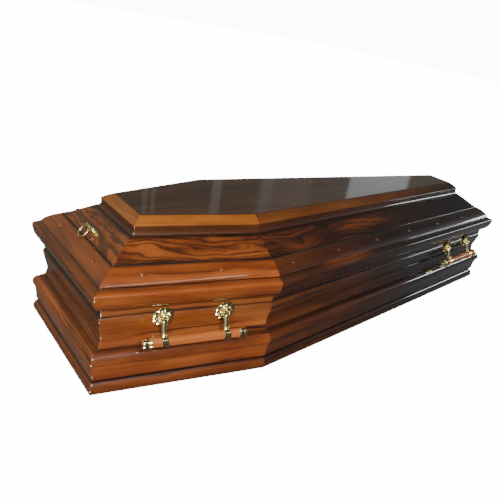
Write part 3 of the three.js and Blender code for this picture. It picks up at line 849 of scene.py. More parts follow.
def run_tone_and_shade(start: float, end: float, head: float) -> tuple:
    """How far the six runs are darkened at their starts and ends: partly the wood's darker tone, and
    partly painted shade on the sides that face away from the light.

    Args:
        start: Darkening of the long sides at the shoulders.
        end: Darkening of the long sides at the foot. Above 1, full darkness comes before the foot.
        head: Darkening of the head end.

    Returns:
        A pair for each run, in the order of Run.
    """
    return (0.0, 0.0), (start, end), (0.55, 0.55), (end, start), (0.0, 0.0), (head, head)


@dataclass
class Moulding:
    """A section swept round the six-sided outline with mitred corners.

    Attributes:
        name: The piece's name.
        section: Closed section in millimetres, anticlockwise with the outside on the right.
        finish: Its material.
        slot: The record's material slot.
        node: The CAD node that it replaces.
        seed: Moves the grain so that no two mouldings match.
        tone_and_shade: How far each run is darkened at its start and at its end, from 0 to 1, partly for
            the wood's darker tone and partly as painted shade on the runs that face away from the light.
        shades: Dark lines and bands, each a height, a half width and a strength: painted shade in the
            quirks, grooves and hollows where parts meet, and darker bands of the wood.
        eyes: Swirls in the figure.
        step: Distance between stations along a run, in millimetres.
        corner_round: Rounding of the mitred corners, in millimetres.
    """

    name: str
    section: np.ndarray
    finish: bpy.types.Material
    slot: str
    node: str
    seed: float
    tone_and_shade: tuple
    shades: tuple
    eyes: tuple
    step: float
    corner_round: float = 3.4

    def _stations(self, run: Run, corners: np.ndarray) -> np.ndarray:
        """Places along one run, from the middle of its first rounded corner to the middle of its last.

        A corner is a quadratic curve between the points that lie one rounding away from it on its two
        sides, with the corner itself as the control point.

        Args:
            run: The side.
            corners: (6, section points, 2) mitred places of the section at the six corners.

        Returns:
            The (stations, section points, 2) places.
        """
        index, following = run.value, (run.value + 1) % 6
        ways = OUTLINE.along() * self.corner_round
        first, last = corners[index], corners[following]
        straight = last - first - 2.0 * ways[index]
        count = max(2, round(OUTLINE.lengths()[index] / self.step))
        share = np.linspace(0.0, 1.0, count + 1)[:, None, None]
        bends = []
        for corner, before, after, shares in (
            (first, ways[index - 1], ways[index], (0.5, 0.66, 0.83)),
            (last, ways[index], ways[following], (0.17, 0.34, 0.5)),
        ):
            t = np.array(shares)[:, None, None]
            bends.append(bend(corner - before, corner, corner + after, t))
        return np.concatenate([bends[0], first + ways[index] + straight * share, bends[1]])

    def _run_field(self, run: Run, flat: np.ndarray, across: np.ndarray) -> tuple:
        """Grain and marks of one run.

        The grain's x is the distance along the run, and its y the distance along the section plus a
        bell-shaped push round each eye. The darkening, partly wood tone and partly painted shade, goes
        evenly from the run's start to its end, and each shade line, painted shade in a groove or a
        darker band of wood, adds its strength times exp(-x^4), where x is the distance in height over
        its half width. The glow, lighter figure and on the fascia painted light, is the sum of the eyes'
        bells.

        Args:
            run: The side.
            flat: (stations, section points, 2) places seen from above, in millimetres.
            across: Distance along the section of each point and of the first again, in metres.

        Returns:
            The grain and the marks, each (stations, section points + 1, 2).
        """
        along = (flat - OUTLINE.corners()[run.value]) @ OUTLINE.along()[run.value] * MM
        along = np.concatenate([along, along[:, :1]], axis=1)
        over = np.broadcast_to(across, along.shape)
        pushed, glow = over.copy(), np.zeros_like(along)
        for eye in self.eyes:
            if eye.run is run:
                bell = ((along - eye.along) / eye.reach[0]) ** 2
                bell = bell + ((over - eye.across) / eye.reach[1]) ** 2
                pushed = pushed + eye.lift * np.exp(-bell)
                glow = glow + eye.glow * np.exp(-(bell**2))
        start, end = self.tone_and_shade[run.value]
        share = np.clip(along / (OUTLINE.lengths()[run.value] * MM), 0.0, 1.0)
        darkening = np.clip(start + (end - start) * share, 0.0, 1.0)
        heights = np.append(self.section[:, 1], self.section[0, 1])
        for height, half_width, strength in self.shades:
            line = strength * np.exp(-(((heights - height) / half_width) ** 4))
            darkening = darkening + (1.0 - darkening) * line
        grain = np.stack([along + self.seed + 3.7 * run.value, pushed + 1.3 * run.value], axis=-1)
        return grain, np.stack([darkening, np.clip(glow, 0.0, 1.0)], axis=-1)

    def shell(self) -> Shell:
        """Sweeps the section: at a corner, a point moves out by its set times the corner's mitre."""
        corners = OUTLINE.corners()[:, None] + OUTLINE.mitres()[:, None] * self.section[None, :, :1]
        across = np.linalg.norm(np.roll(self.section, -1, axis=0) - self.section, axis=1)
        across = np.concatenate([[0.0], np.cumsum(across)]) * MM
        points, grain, marks = [], [], []
        for run in Run:
            flat = self._stations(run, corners)
            height = np.broadcast_to(self.section[:, 1], flat.shape[:2])[..., None]
            points.append(np.concatenate([flat, height], axis=-1)[:-1])
            for store, field in zip((grain, marks), self._run_field(run, flat, across)):
                quads = [field[:-1, :-1], field[1:, :-1], field[1:, 1:], field[:-1, 1:]]
                store.append(np.stack(quads, axis=2).reshape(-1, 4, 2))
        points = np.concatenate(points)
        faces = grid_faces(len(points), len(self.section), True)
        return Shell(points.reshape(-1, 3), faces, np.concatenate(grain), np.concatenate(marks))

    def build(self) -> None:
        """Makes the piece and puts it on the coffin."""
        piece = make_object(self.name, [self.shell()], self.finish, 34.0)
        hand_over(piece, "coffin", self.slot, self.node)


@dataclass(frozen=True)
class Sections:
    """The sections of the coffin's mouldings, in millimetres.

    Attributes:
        gap: Clearance between pieces that touch.
        wall_inner: Set of the walls' inner face.
        wall_back: Set of the walls' outer face behind the mouldings.
        wall_top: Height of the body.
        base_top: Height of the base moulding.
        plinth_top: Height of the plinth.
        lid_top: Height of the lid.
        panel_thickness: Thickness of the top panel.
        floor_top: Height of the floor board.
    """

    gap: float = 0.3
    wall_inner: float = -52.0
    wall_back: float = -36.0
    wall_top: float = 254.0
    base_top: float = 130.0
    plinth_top: float = 38.0
    lid_top: float = 450.0
    panel_thickness: float = 13.7
    floor_top: float = 16.0

    def walls(self) -> np.ndarray:
        """Wall with a hollowed handle panel, a small step and a rounded fascia."""
        foot, back = self.base_top + self.gap, self.wall_back - self.gap
        panel = smooth_through([(-24, foot), (-29, 146), (-32, 165), (-26.5, 192), (-21, 219)], 8)
        return chain(
            [(self.wall_inner, 0), (back, 0), (back, foot)],
            panel,
            quarter((-21, 219), (-27.5, 231), 6, False)[1:],
            [(-27.5, 232.5), (-25.5, 233)],
            quarter((-25.5, 248), (-31.5, self.wall_top), 6, False),
            [(self.wall_inner, self.wall_top)],
        )

    def plinth(self) -> np.ndarray:
        """Plinth with a rounded outer edge."""
        return chain(
            [(self.wall_back, 0)],
            quarter((-3, 0), (2, 14), 6, True),
            quarter((2, 14), (-13, self.plinth_top), 12, False)[1:],
            [(self.wall_back, self.plinth_top)],
        )

    def base(self) -> np.ndarray:
        """Base moulding: a toe, a long hollow and a nose that rolls back to the wall."""
        foot = self.plinth_top + self.gap
        return chain(
            [(self.wall_back, foot), (-13, foot), (-13, 42), (-5.6, 46)],
            quarter((-5, 52), (4.5, 100), 14, False),
            quarter((4.5, 106), (-20, self.base_top), 12, False),
            [(self.wall_back, self.base_top)],
        )

    def lid_frame(self) -> np.ndarray:
        """Round moulding over a neck, a shelf and the sloping band that carries the screw covers."""
        seat = self.wall_top + self.gap
        return chain(
            [(self.wall_inner, seat), (-24, seat)],
            quarter((-24, seat + 2.5), (5, 306), 18, True),
            quarter((5, 306), (0, 313), 6, False)[1:],
            [(-19.5, 319.5), (-17, 322)],
            swollen((-17, 325), (-66, 356.5), 8, 10),
            [(-68.9, 354.8), (-77.0, 342.1), (self.wall_inner, 326.2)],
        )

    def slope_boards(self) -> np.ndarray:
        """Wide sloping board between the band's groove and the cove."""
        face = np.linspace((-69.6, 357.0), (-140.0, 401.0), 25)
        return np.vstack([[(-77.0, 342.7), (-69.1, 355.0)], face, [(-141.6, 402.0), (-171.9, 402.0)]])

    def border(self) -> np.ndarray:
        """Cove, overhanging lip and the rounded golden border."""
        top = self.lid_top
        ledge = top - self.panel_thickness - self.gap
        return chain(
            [(-171.9, 402.3)],
            quarter((-146, 402.3), (-156, 423), 8, True),
            [(-154, 426)],
            swollen((-154, 429), (-186, top - 0.6), 3, 10),
            [(-187.2, top - 1.6), (-187.2, ledge), (-205, ledge), (-205, 424.3)],
        )


class Carcass:
    """The body's walls, floor board and mouldings, and the lid that rests on it."""

    def __init__(self, palette: Palette) -> None:
        """Keeps the finishes."""
        self.palette = palette
        self.sections = Sections()

    def build(self) -> None:
        """Builds the body and the lid."""
        cut, look = self.sections, self.palette
        # Darkening of each run: partly the wood's darker tone, partly painted shade on the long sides
        # and the head end, which face away from the light.
        wall_tone_shade, foot_tone_shade = run_tone_and_shade(0.6, 1.3, 0.52), run_tone_and_shade(0.6, 1.25, 0.2)
        rail_tone_shade, board_tone_shade = run_tone_and_shade(0.78, 1.3, 0.5), run_tone_and_shade(0.62, 1.1, 0.0)
        border_tone_shade = run_tone_and_shade(0.45, 1.05, 0.3)
        short_eyes = (
            Eye(Run.NEAR_SHORT, 0.33, 0.040, (0.14, 0.016), 0.012, 0.42),
            Eye(Run.NEAR_SHORT, 0.15, 0.080, (0.08, 0.012), -0.008, 0.1),
            Eye(Run.NEAR_SHORT, 0.45, 0.072, (0.07, 0.014), -0.014, 0.3),
            Eye(Run.NEAR_SHORT, 0.12, 0.036, (0.06, 0.010), 0.008, 0.2),
            Eye(Run.FAR_SHORT, 0.30, 0.050, (0.12, 0.02), 0.02, 0.3),
            Eye(Run.HEAD, 0.237, 0.072, (0.40, 0.012), 0.0, 0.22),
            Eye(Run.HEAD, 0.237, 0.036, (0.40, 0.012), 0.0, 0.36),
            Eye(Run.FOOT, 0.226, 0.050, (0.12, 0.018), 0.02, 0.3),
        )
        long_eyes = (
            Eye(Run.NEAR_LONG, 0.17, 0.034, (0.095, 0.024), 0.03, 0.12),
            Eye(Run.NEAR_LONG, 0.52, 0.066, (0.15, 0.020), 0.004, 0.3),
            Eye(Run.FAR_LONG, 0.62, 0.050, (0.12, 0.024), 0.02, 0.2),
            Eye(Run.FAR_LONG, 1.10, 0.060, (0.10, 0.018), 0.015, 0.15),
        )
        patches = (Eye(Run.NEAR_LONG, 0.33, 0.118, (0.13, 0.018), 0.01, 0.34),)
        # Not a swirl: painted light along the fascia of the near short side, which the lights leave
        # dark.
        fascia = (Eye(Run.NEAR_SHORT, 0.27, 0.274, (1.5, 0.01), 0.0, 0.5),)
        # Painted shade in the quirks, grooves and hollows where parts meet; the rail's broad band over
        # its round and the border's band over its cove are darker wood, and the plinth is darker low
        # down.
        wall_shade_lines = ((130.0, 5.0, 0.7), (232.0, 2.6, 0.8), (254.0, 2.5, 0.6), (226.0, 9.0, 0.2))
        base_shade_lines = ((39.0, 6.0, 0.75), (130.0, 3.0, 0.6), (54.0, 12.0, 0.25))
        rail_shade_and_tone = ((256.0, 5.0, 0.85), (321.0, 2.6, 0.8), (356.5, 1.6, 0.5), (286.0, 26.0, 0.25))
        board_shade_lines = ((357.0, 2.0, 0.8), (402.0, 4.0, 0.75))
        border_shade_and_tone = ((402.0, 4.0, 0.7), (413.0, 13.5, 0.78), (428.0, 1.6, 0.7), (449.5, 0.7, 0.5))
        plinth_shade_lines = ((38.0, 5.0, 0.8), (20.0, 30.0, 0.42))
        fine, coarse, trim = 8.0, 14.0, "moulding_wood"
        rows = (
            ("walls", cut.walls(), 1.6, look.side, "side_wood", "side_walls"),
            ("plinth", cut.plinth(), 1.6, look.moulding, trim, "plinth_moulding"),
            ("base", cut.base(), 1.6, look.moulding, trim, "base_moulding"),
            ("lid_rail", cut.lid_frame(), 1.8, look.rail, "side_wood", "lid_frame"),
            ("slope_boards", cut.slope_boards(), 1.2, look.figured, "figured_wood", "lid_slope_boards"),
            ("border", cut.border(), 1.4, look.border, "border_wood", "lid_border"),
        )
        sweep_settings = (
            (0.0, wall_tone_shade, wall_shade_lines, fascia, coarse),
            (11.0, foot_tone_shade, plinth_shade_lines, (), coarse),
            (23.0, foot_tone_shade, base_shade_lines, (), coarse),
            (37.0, rail_tone_shade, rail_shade_and_tone, patches, coarse),
            (51.0, board_tone_shade, board_shade_lines, short_eyes + long_eyes, fine),
            (67.0, border_tone_shade, border_shade_and_tone, (), coarse),
        )
        for (name, section, rounding, finish, slot, node), sweep_setting in zip(rows, sweep_settings):
            Moulding(name, soften(section, rounding), finish, slot, node, *sweep_setting).build()
        low = cut.lid_top - cut.panel_thickness
        self._board("top_board", "lid_top_panel", look.top, "top_wood", -187.5, (low, cut.lid_top))
        edge = cut.wall_inner - cut.gap
        self._board("bottom_board", "floor_board", look.bare, "floor_wood", edge, (0.0, cut.floor_top))

    def _board(
        self, name: str, node: str, finish: bpy.types.Material, slot: str, set_out: float, heights: tuple
    ) -> None:
        """A flat six-sided board with softened edges.

        It is stacked outlines: each level is the outline at some set, from the middle of the lower face
        out to its edge, up the side and back to the middle of the upper face.

        Args:
            name: The piece's name.
            node: The CAD node that it replaces.
            finish: Its material.
            slot: The record's material slot.
            set_out: Set of its edge.
            heights: Heights of its lower and upper faces.
        """
        soft = 1.0
        low, high = heights
        edge = OUTLINE.corners() + OUTLINE.mitres() * set_out
        drawn_in = OUTLINE.corners() + OUTLINE.mitres() * (set_out - soft)
        middle = np.zeros((6, 2))
        flats = (middle, drawn_in, edge, edge, drawn_in, middle)
        levels = (low, low, low + soft, high - soft, high, high)
        layers = [np.column_stack([flat, np.full(6, level)]) for flat, level in zip(flats, levels)]
        points = np.concatenate(layers)
        faces = grid_faces(len(layers), 6, False)
        shell = Shell(points, faces, (points[faces][..., :2] * MM) + 5.0)
        hand_over(make_object(name, [shell], finish, 20.0), "coffin", slot, node)


# Fittings.


@dataclass(frozen=True)
class ScrewCovers:
    """Domed wooden screw covers on the lid.

    Attributes:
        radius: Radius of a cover.
        rise: Height of its dome.
        pitch: Distance between covers on the sides.
        from_head: Distance of the first cover of a short side from its head corner.
        from_shoulder: Distance of the first cover of a long side from its shoulder corner.
        head_pair: Distance of the head band's covers from its middle.
        foot_pair: Distance of the foot band's covers from its middle.
        beside_ring: Distance of the head board's cover from its middle.
        band_spot: Set and height of the band's middle.
        band_lean: Slope of the band in radians.
        board_spot: Set and height of the single cover on the head board.
        board_lean: Slope of the board in radians.
        long_side_shade: Painted shade on the covers of the long sides, which face away from the light,
            from 0 to 1.
    """

    radius: float = 6.5
    rise: float = 4.2
    pitch: float = 225.0
    from_head: float = 125.0
    from_shoulder: float = 78.0
    head_pair: float = 122.0
    foot_pair: float = 110.0
    beside_ring: float = 29.0
    band_spot: tuple = (-39.337, 344.114)
    band_lean: float = 0.5714
    board_spot: tuple = (-77.0, 361.65)
    board_lean: float = 0.5582
    long_side_shade: float = 0.72

    def _dome(self) -> Shell:
        """A low dome on a short collar, standing along Z with its seat at Z = 0.3."""
        t = np.linspace(0.0, math.pi / 2, 9)
        seat, collar = 0.3, 1.0
        height = seat + collar + (self.rise - collar) * np.sin(t)
        dome = np.stack([height, self.radius * np.cos(t) ** 0.8], axis=1)
        foot = np.array([[seat, 0.0], [seat, self.radius - 0.4], [0.6, self.radius]])
        return turned(np.vstack([foot, dome]), 32).moved(X_TO_Z)

    def build(self, palette: Palette) -> None:
        """Builds every cover where its CAD node is.

        Args:
            palette: The finishes.
        """
        lengths = OUTLINE.lengths()
        middle = lengths / 2
        spots = []
        for side, start, count, shade in (
            ("short", self.from_head, 2, 0.0),
            ("long", self.from_shoulder, 6, self.long_side_shade),
        ):
            near, far = Run[f"NEAR_{side.upper()}"], Run[f"FAR_{side.upper()}"]
            for index in range(count):
                along = start + index * self.pitch
                spots.append((f"near_{side}_{index + 1}", near, along, shade))
                spots.append((f"far_{side}_{index + 1}", far, lengths[far.value] - along, shade))
        for index, hand in enumerate((-1, 1)):
            for side, run, pair in (
                ("head", Run.HEAD, self.head_pair),
                ("foot", Run.FOOT, self.foot_pair),
            ):
                spots.append((f"{side}_{index + 1}", run, middle[run.value] + hand * pair, 0.0))
        for label, run, along, shade in spots:
            place = OUTLINE.place(run, along, *self.band_spot, self.band_lean)
            self._cover(label, place, palette, shade)
        along = middle[Run.HEAD.value] + self.beside_ring
        place = OUTLINE.place(Run.HEAD, along, *self.board_spot, self.board_lean)
        self._cover("head_board", place, palette, 0.0)

    def _cover(self, label: str, place: np.ndarray, palette: Palette, shade: float) -> None:
        """One cover in place of its node, with painted shade darkening it by a share from 0 to 1."""
        dome = self._dome().moved(place).darkened(shade)
        piece = make_object(f"cover_{label}", [dome], palette.moulding)
        hand_over(piece, "coffin", "stud_wood", f"stud_{label}")


@dataclass(frozen=True)
class SwingHandle:
    """A wooden bar that hangs by two hinged arms from two flower-shaped rosettes.

    Everything is drawn about the middle of the hinge line, X along the wall, -Y outward and Z up. The
    swinging pieces are drawn hanging straight down, and then lean out from the wall together.

    Attributes:
        name: The handle's name in the CAD nodes.
        run: The side that it is on.
        along: Distance of its middle from the run's first corner.
        shade: Painted shade that darkens the bar's wood, from 0 to 1.
        spread: Distance of each arm from the middle.
        wall_set: Set of the wall's fullest part, behind the rosettes.
        stand_off: Distance of the pins from the wall.
        rosette_height: Height of the rosettes.
        below_centre: How far the pins lie below the middle of a rosette.
        bar_drop: How far the bar lies below the pins.
        bar_out: How far the bar lies outside the pins.
        bar_radius: Radius of the bar.
        bar_half: Half the length of the bar.
        rosette_radius: Radius over the petals.
        petals: Number of petals.
        bead_circle: Distance of the beads from the middle of a rosette.
        nut_above: Distance of the cap nut above the middle of a rosette.
        lug_aside: Distance of each lug from the middle of a rosette.
    """

    name: str
    run: Run
    along: float
    shade: float = 0.0
    spread: float = 92.0
    wall_set: float = -21.0
    stand_off: float = 12.0
    rosette_height: float = 219.0
    below_centre: float = 3.0
    bar_drop: float = 56.5
    bar_out: float = 20.0
    bar_radius: float = 13.5
    bar_half: float = 153.0
    rosette_radius: float = 30.5
    petals: int = 8
    bead_circle: float = 19.5
    nut_above: float = 10.5
    lug_aside: float = 11.0

    def build(self, palette: Palette) -> None:
        """Builds the handle's pieces.

        Args:
            palette: The finishes.
        """
        hinge_height = self.rosette_height - self.below_centre
        place = OUTLINE.place(self.run, self.along, self.wall_set + self.stand_off, hinge_height)
        node = f"handle_{self.name}"
        arm_length = math.hypot(self.bar_drop, self.bar_out)
        hung = place @ turn_about_x(-math.atan2(self.bar_out, self.bar_drop))
        at_bar = hung @ shift(z=-arm_length)
        grip = self._bar().moved(at_bar).darkened(self.shade)
        hand_over(make_object(f"{node}_grip", [grip], palette.bar), node, "bar_wood", f"{node}_bar")
        for label, hand in (("a", -1.0), ("b", 1.0)):
            aside = shift(x=hand * self.spread)
            parts = (
                ("flower", "rosette", "coffin", self._rosette(), place @ aside),
                ("hanger", "arm", node, self._arm(-arm_length), hung @ aside),
                ("end", "cap", node, [self._cap(hand)], at_bar),
            )
            for name, solid, body, shells, spot in parts:
                moved = [shell.moved(spot) for shell in shells]
                piece = make_object(f"{node}_{name}_{label}", moved, palette.brass)
                hand_over(piece, body, "brass", f"{node}_{solid}_{label}")

    def _bar(self) -> Shell:
        """The turned wooden bar with softened ends."""
        radius, half, soft = self.bar_radius, self.bar_half, 1.0
        end = [(-half, 0.0), (-half, radius - soft), (soft - half, radius)]
        x = np.linspace(4.0 - half, half - 4.0, 21)
        middle = np.stack([x, np.full_like(x, radius)], axis=1)
        return turned(np.vstack([end, middle, [(-x, r) for x, r in end[::-1]]]), 48)

    def _flower(self) -> Shell:
        """The petalled plate.

        Its height is given over polar coordinates. The rim's radius is the full radius less a scallop
        between petals. From the rim the face rises over the swell of the petals, dips in a ring round
        the boss and falls between petals.

        Returns:
            The shell, standing out of the wall along +X.
        """
        angle = np.linspace(0.0, TURN, 128, endpoint=False)
        lobe = np.abs(np.sin(angle * self.petals / 2.0)) ** 0.6
        rim = self.rosette_radius - 3.0 * (1.0 - lobe)
        share = np.linspace(1.0, 0.0, 30)[:, None]
        petal = np.sin(np.pi * np.clip((share - 0.46) / 0.54, 0.0, 1.0)) ** 0.7
        dish = 2.0 + 2.3 * petal * (0.35 + 0.65 * lobe[None]) * (share > 0.46)
        dish = np.minimum(dish, 2.0 + 8.0 * (1.0 - share) ** 0.5)
        under_share = np.array([0.0, 0.97, 1.0])[:, None]
        under_height = np.array([0.3, 0.3, 0.9])[:, None] * np.ones_like(angle)[None]
        radius = np.concatenate([under_share * rim[None], share * rim[None]])
        height = np.concatenate([under_height, dish])
        points = np.stack([height, radius * np.cos(angle), radius * np.sin(angle)], axis=-1)
        points = points.reshape(-1, 3)
        faces = grid_faces(len(radius), len(angle), False)
        return Shell(points, faces, points[faces][..., 1:] * MM)

    def _rosette(self) -> list:
        """The petalled plate, its stepped boss, the cap nut, the two lugs and the pin."""
        boss = chain(
            [(1.5, 0.0), (1.5, 14.6), (3.4, 15.0)],
            quarter((4.0, 15.0), (5.0, 13.6), 4, False),
            quarter((4.6, 12.6), (5.8, 11.0), 4, False),
            [(5.8, 0.0)],
        )
        nut_crown = quarter((14.6, 3.5), (18.0, 0.0), 8, False)
        nut = np.vstack([[(4.0, 0.0), (4.0, 4.3), (7.0, 4.5), (13.6, 4.5), (14.4, 4.2)], nut_crown])
        bead = np.vstack([[(2.0, 0.0)], quarter((3.6, 2.5), (6.4, 0.0), 6, False)])
        wall = shift(y=self.stand_off, z=self.below_centre) @ X_OUT_OF_WALL
        shells = [self._flower().moved(wall), turned(boss, 48).moved(wall)]
        shells.append(turned(nut, 6).moved(shift(z=self.nut_above) @ wall))
        for angle in np.radians([195.0, 345.0, 225.0, 315.0]):
            x, z = self.bead_circle * np.cos(angle), self.bead_circle * np.sin(angle)
            spot = shift(x=x, z=z)
            shells.append(turned(bead, 20).moved(spot @ wall))
        for hand in (-1.0, 1.0):
            reach = np.radians(np.linspace(-90, 90, 15))
            ear = np.stack([-5.2 * np.cos(reach), 5.2 * np.sin(reach)], axis=1)
            ear = np.vstack([ear, [[8.6, 4.2], [8.6, -4.2]]])
            shells.append(slab(ear[::-1], 6.0, 1.0).moved(shift(x=hand * self.lug_aside)))
        end = [(15.8, 0.0), (15.8, 2.2), (14.9, 3.4), (13.8, 3.6), (13.8, 2.6)]
        pin = np.array([(-x, r) for x, r in end] + end[::-1])
        shells.append(turned(pin, 28))
        return shells

    def _arm(self, drop: float) -> list:
        """The hinged arm: knuckle, tapering oval shank with collars, and the ring round the bar.

        Args:
            drop: Height of the bar's middle from the pin, negative.

        Returns:
            The shells.
        """
        knuckle = np.array(
            [(-7.7, 2.9), (-7.7, 5.0), (-7.0, 5.6), (7.0, 5.6), (7.7, 5.0), (7.7, 2.9), (-7.7, 2.9)]
        )
        foot = drop + self.bar_radius + 0.9
        collar = drop + 21.0
        stations = chain(
            [(foot, 0.0), (foot, 8.4), (foot + 1.6, 8.2), (foot + 3.0, 6.9)],
            [(collar - 3.0, 6.9), (collar - 2.6, 8.6), (collar - 1.6, 9.2), (collar - 0.5, 8.6)],
            [(collar, 8.0), (collar + 0.5, 8.6), (collar + 1.6, 9.2), (collar + 2.6, 8.6)],
            [(collar + 3.0, 6.7), (collar + 5.0, 6.6), (collar + 14.0, 7.4), (-12.0, 8.6)],
            [(-8.0, 8.2), (-5.0, 7.5), (-3.0, 6.6), (-2.8, 0.0)],
        )
        shank = turned(stations, 36, squash=0.75).moved(X_TO_Z)
        inner, outer = self.bar_radius + 0.3, self.bar_radius + 3.3
        lip = [(10.0, inner), (10.0, outer - 0.6), (9.4, outer), (8.0, outer), (7.2, outer - 1.2)]
        ring = np.array([(-x, r) for x, r in lip] + lip[::-1] + [(-10.0, inner)])
        return [turned(knuckle, 32), shank, turned(ring, 48).moved(shift(z=drop))]

    def _cap(self, hand: float) -> Shell:
        """The cup over one end of the bar: a flared lip, a plain barrel and a rounded end.

        Args:
            hand: -1 or 1 for the end.

        Returns:
            The shell.
        """
        inner, outer = self.bar_radius + 0.3, self.bar_radius + 2.7
        profile = chain(
            [(153.3, 0.0), (153.3, inner), (130.0, inner), (130.0, outer + 1.2)],
            [(130.8, outer + 1.8), (132.4, outer + 1.6), (134.0, outer + 0.2)],
            [(135.6, outer - 0.3), (147.4, outer - 0.3)],
            [(148.4, outer), (150.0, outer), (151.0, outer - 0.6)],
            quarter((152.4, outer - 0.9), (157.5, 0.0), 9, False),
        )
        return turned(profile * [hand, 1.0], 48)


@dataclass(frozen=True)
class RingPull:
    """The ring pull on the head end's sloping board.

    Drawn on the board's face, X along the head end, +Y up the slope and Z square out of the face.

    Attributes:
        spot: Set and height of its pin's foot on the board.
        lean: Slope of the board in radians.
        off_centre: Distance from the middle of the head end.
        pin_lift: Height of the pin over the face.
        ring_radius: Mean radius of the ring.
        ring_hang: Distance of the ring's middle from the pin.
        ring_rest: Height over the face on which the ring's far side rests.
        wire: Radius of the ring's wire.
        knob_offset: Distance of the knob from the pin, along the head end.
    """

    spot: tuple = (-92.0, 371.021)
    lean: float = 0.5582
    off_centre: float = -16.0
    pin_lift: float = 17.0
    ring_radius: float = 18.4
    ring_hang: float = 21.8
    ring_rest: float = 4.0
    wire: float = 2.6
    knob_offset: float = 35.5

    def build(self, palette: Palette) -> None:
        """Builds the base plate with its lugs, pin and knob, and the ring.

        Args:
            palette: The finishes.
        """
        along = OUTLINE.lengths()[Run.HEAD.value] / 2 + self.off_centre
        place = OUTLINE.place(Run.HEAD, along, *self.spot, self.lean)
        base = make_object("pull_base", [s.moved(place) for s in self._base()], palette.brass)
        hand_over(base, "coffin", "brass", "ring_pull_base")
        fall = self.pin_lift - self.wire - self.ring_rest
        dip = math.asin(fall / (self.ring_hang + self.ring_radius))
        resting = place @ shift(z=self.pin_lift) @ turn_about_x(dip)
        ring = make_object("pull_ring", [s.moved(resting) for s in self._ring()], palette.brass)
        hand_over(ring, "ring_pull", "brass", "ring_pull_ring")

    def _base(self) -> list:
        """A plate with round ends, two lugs with a pin between them, and a knob on its long end."""
        turn = np.radians(np.linspace(-90, 90, 15))
        end = np.stack([7.0 * np.cos(turn), 7.0 * np.sin(turn)], axis=1)
        plan = np.vstack([end + [35.5, 0.0], [-10.5, 0.0] - end])
        shells = [slab(plan, 2.0, 0.7).moved(shift(z=1.3) @ PLATE_LAID_FLAT)]
        for hand in (-1.0, 1.0):
            reach = np.radians(np.linspace(0, 180, 13))
            ear = np.stack([3.6 * np.cos(reach), 3.6 * np.sin(reach) + self.pin_lift], axis=1)
            ear = np.vstack([ear, [[-3.6, 1.5], [3.6, 1.5]]])
            shells.append(slab(ear, 4.4, 0.8).moved(shift(x=hand * 13.0)))
        head = [(15.2, 0.0), (15.2, 1.8)]
        pin = np.array([(-x, r) for x, r in head] + head[::-1])
        shells.append(turned(pin, 24).moved(shift(z=self.pin_lift)))
        crown = quarter((6.2, 5.5), (10.0, 0.0), 8, False)
        knob = np.vstack([[(1.3, 0.0), (1.3, 5.4), (2.6, 5.4), (3.4, 4.0), (4.6, 4.2)], crown])
        shells.append(turned(knob, 32).moved(shift(x=self.knob_offset) @ X_TO_Z))
        return shells

    def _ring(self) -> list:
        """The ring as a torus level with the pin, and the knuckle that joins it to the pin."""
        angle = np.linspace(0.0, TURN, 21)
        tube = np.stack([np.sin(angle), np.cos(angle)], axis=1) * self.wire + [0.0, self.ring_radius]
        tube[-1] = tube[0]
        ring = turned(tube, 72).moved(shift(y=-self.ring_hang) @ X_TO_Z)
        end = [(10.5, 2.1), (10.5, 3.1), (10.0, 3.6)]
        barrel = np.array([(-x, r) for x, r in end] + end[::-1] + [(-10.5, 2.1)])
        return [ring, turned(barrel, 28)]


class Fittings:
    """The screw covers, the four swing handles and the ring pull."""

    def __init__(self, palette: Palette) -> None:
        """Keeps the finishes."""
        self.palette = palette

    def build(self) -> None:
        """Builds every fitting."""
        ScrewCovers().build(self.palette)
        lengths = OUTLINE.lengths()
        from_head, from_foot = 281.0, 262.0
        handles = (
            SwingHandle("near_head", Run.NEAR_SHORT, from_head),
            # The bars of the handles on the long sides get painted shade.
            SwingHandle("near_foot", Run.NEAR_LONG, lengths[1] - from_foot, 0.35),
            SwingHandle("far_foot", Run.FAR_LONG, from_foot, 0.35),
            SwingHandle("far_head", Run.FAR_SHORT, lengths[4] - from_head),
        )
        for handle in handles:
            handle.build(self.palette)
        RingPull().build(self.palette)


# The studio.


def aimed(place: tuple, right: object, up: object) -> Matrix:
    """The matrix of a lamp or camera at a place, from the ways to its right and its top."""
    return Matrix(basis(right, up, np.cross(right, up), place).tolist())


@dataclass(frozen=True)
class SoftLight:
    """An area light.

    Attributes:
        name: Its name.
        place: Where it is, in metres.
        aim: The point that it faces.
        size: Its width and height in metres.
        power: Its power in watts.
        tint: Its colour.
    """

    name: str
    place: tuple
    aim: tuple
    size: tuple
    power: float
    tint: tuple = (1.0, 1.0, 1.0)

    def build(self) -> None:
        """Puts the light in the scene."""
        data = bpy.data.lights.new(self.name, "AREA")
        data.shape = "RECTANGLE"
        data.size, data.size_y = self.size
        data.energy = self.power
        data.color = self.tint
        lamp = bpy.data.objects.new(self.name, data)
        bpy.context.scene.collection.objects.link(lamp)
        back = np.array(self.place) - np.array(self.aim)
        back /= np.linalg.norm(back)
        right = np.cross([0.0, 0.0, 1.0], back)
        right /= np.linalg.norm(right)
        lamp.matrix_world = aimed(self.place, right, np.cross(back, right))


@dataclass(frozen=True)
class Window:
    """An upright band of light in the surroundings.

    Attributes:
        start: Its first bearing in degrees, anticlockwise from +X.
        end: Its last bearing in degrees.
        tint: Its radiance.
        soft: Half the width of its soft edges in degrees.
    """

    start: float
    end: float
    tint: tuple
    soft: float = 0.4


@dataclass(frozen=True)
class Glow:
    """A round patch of light in the surroundings.

    Attributes:
        bearing: The way to its middle.
        low: Cosine of the angle from its middle at which it begins.
        high: Cosine of the angle from its middle at which it is full.
        tint: Its radiance.
    """

    bearing: tuple
    low: float
    high: float
    tint: tuple


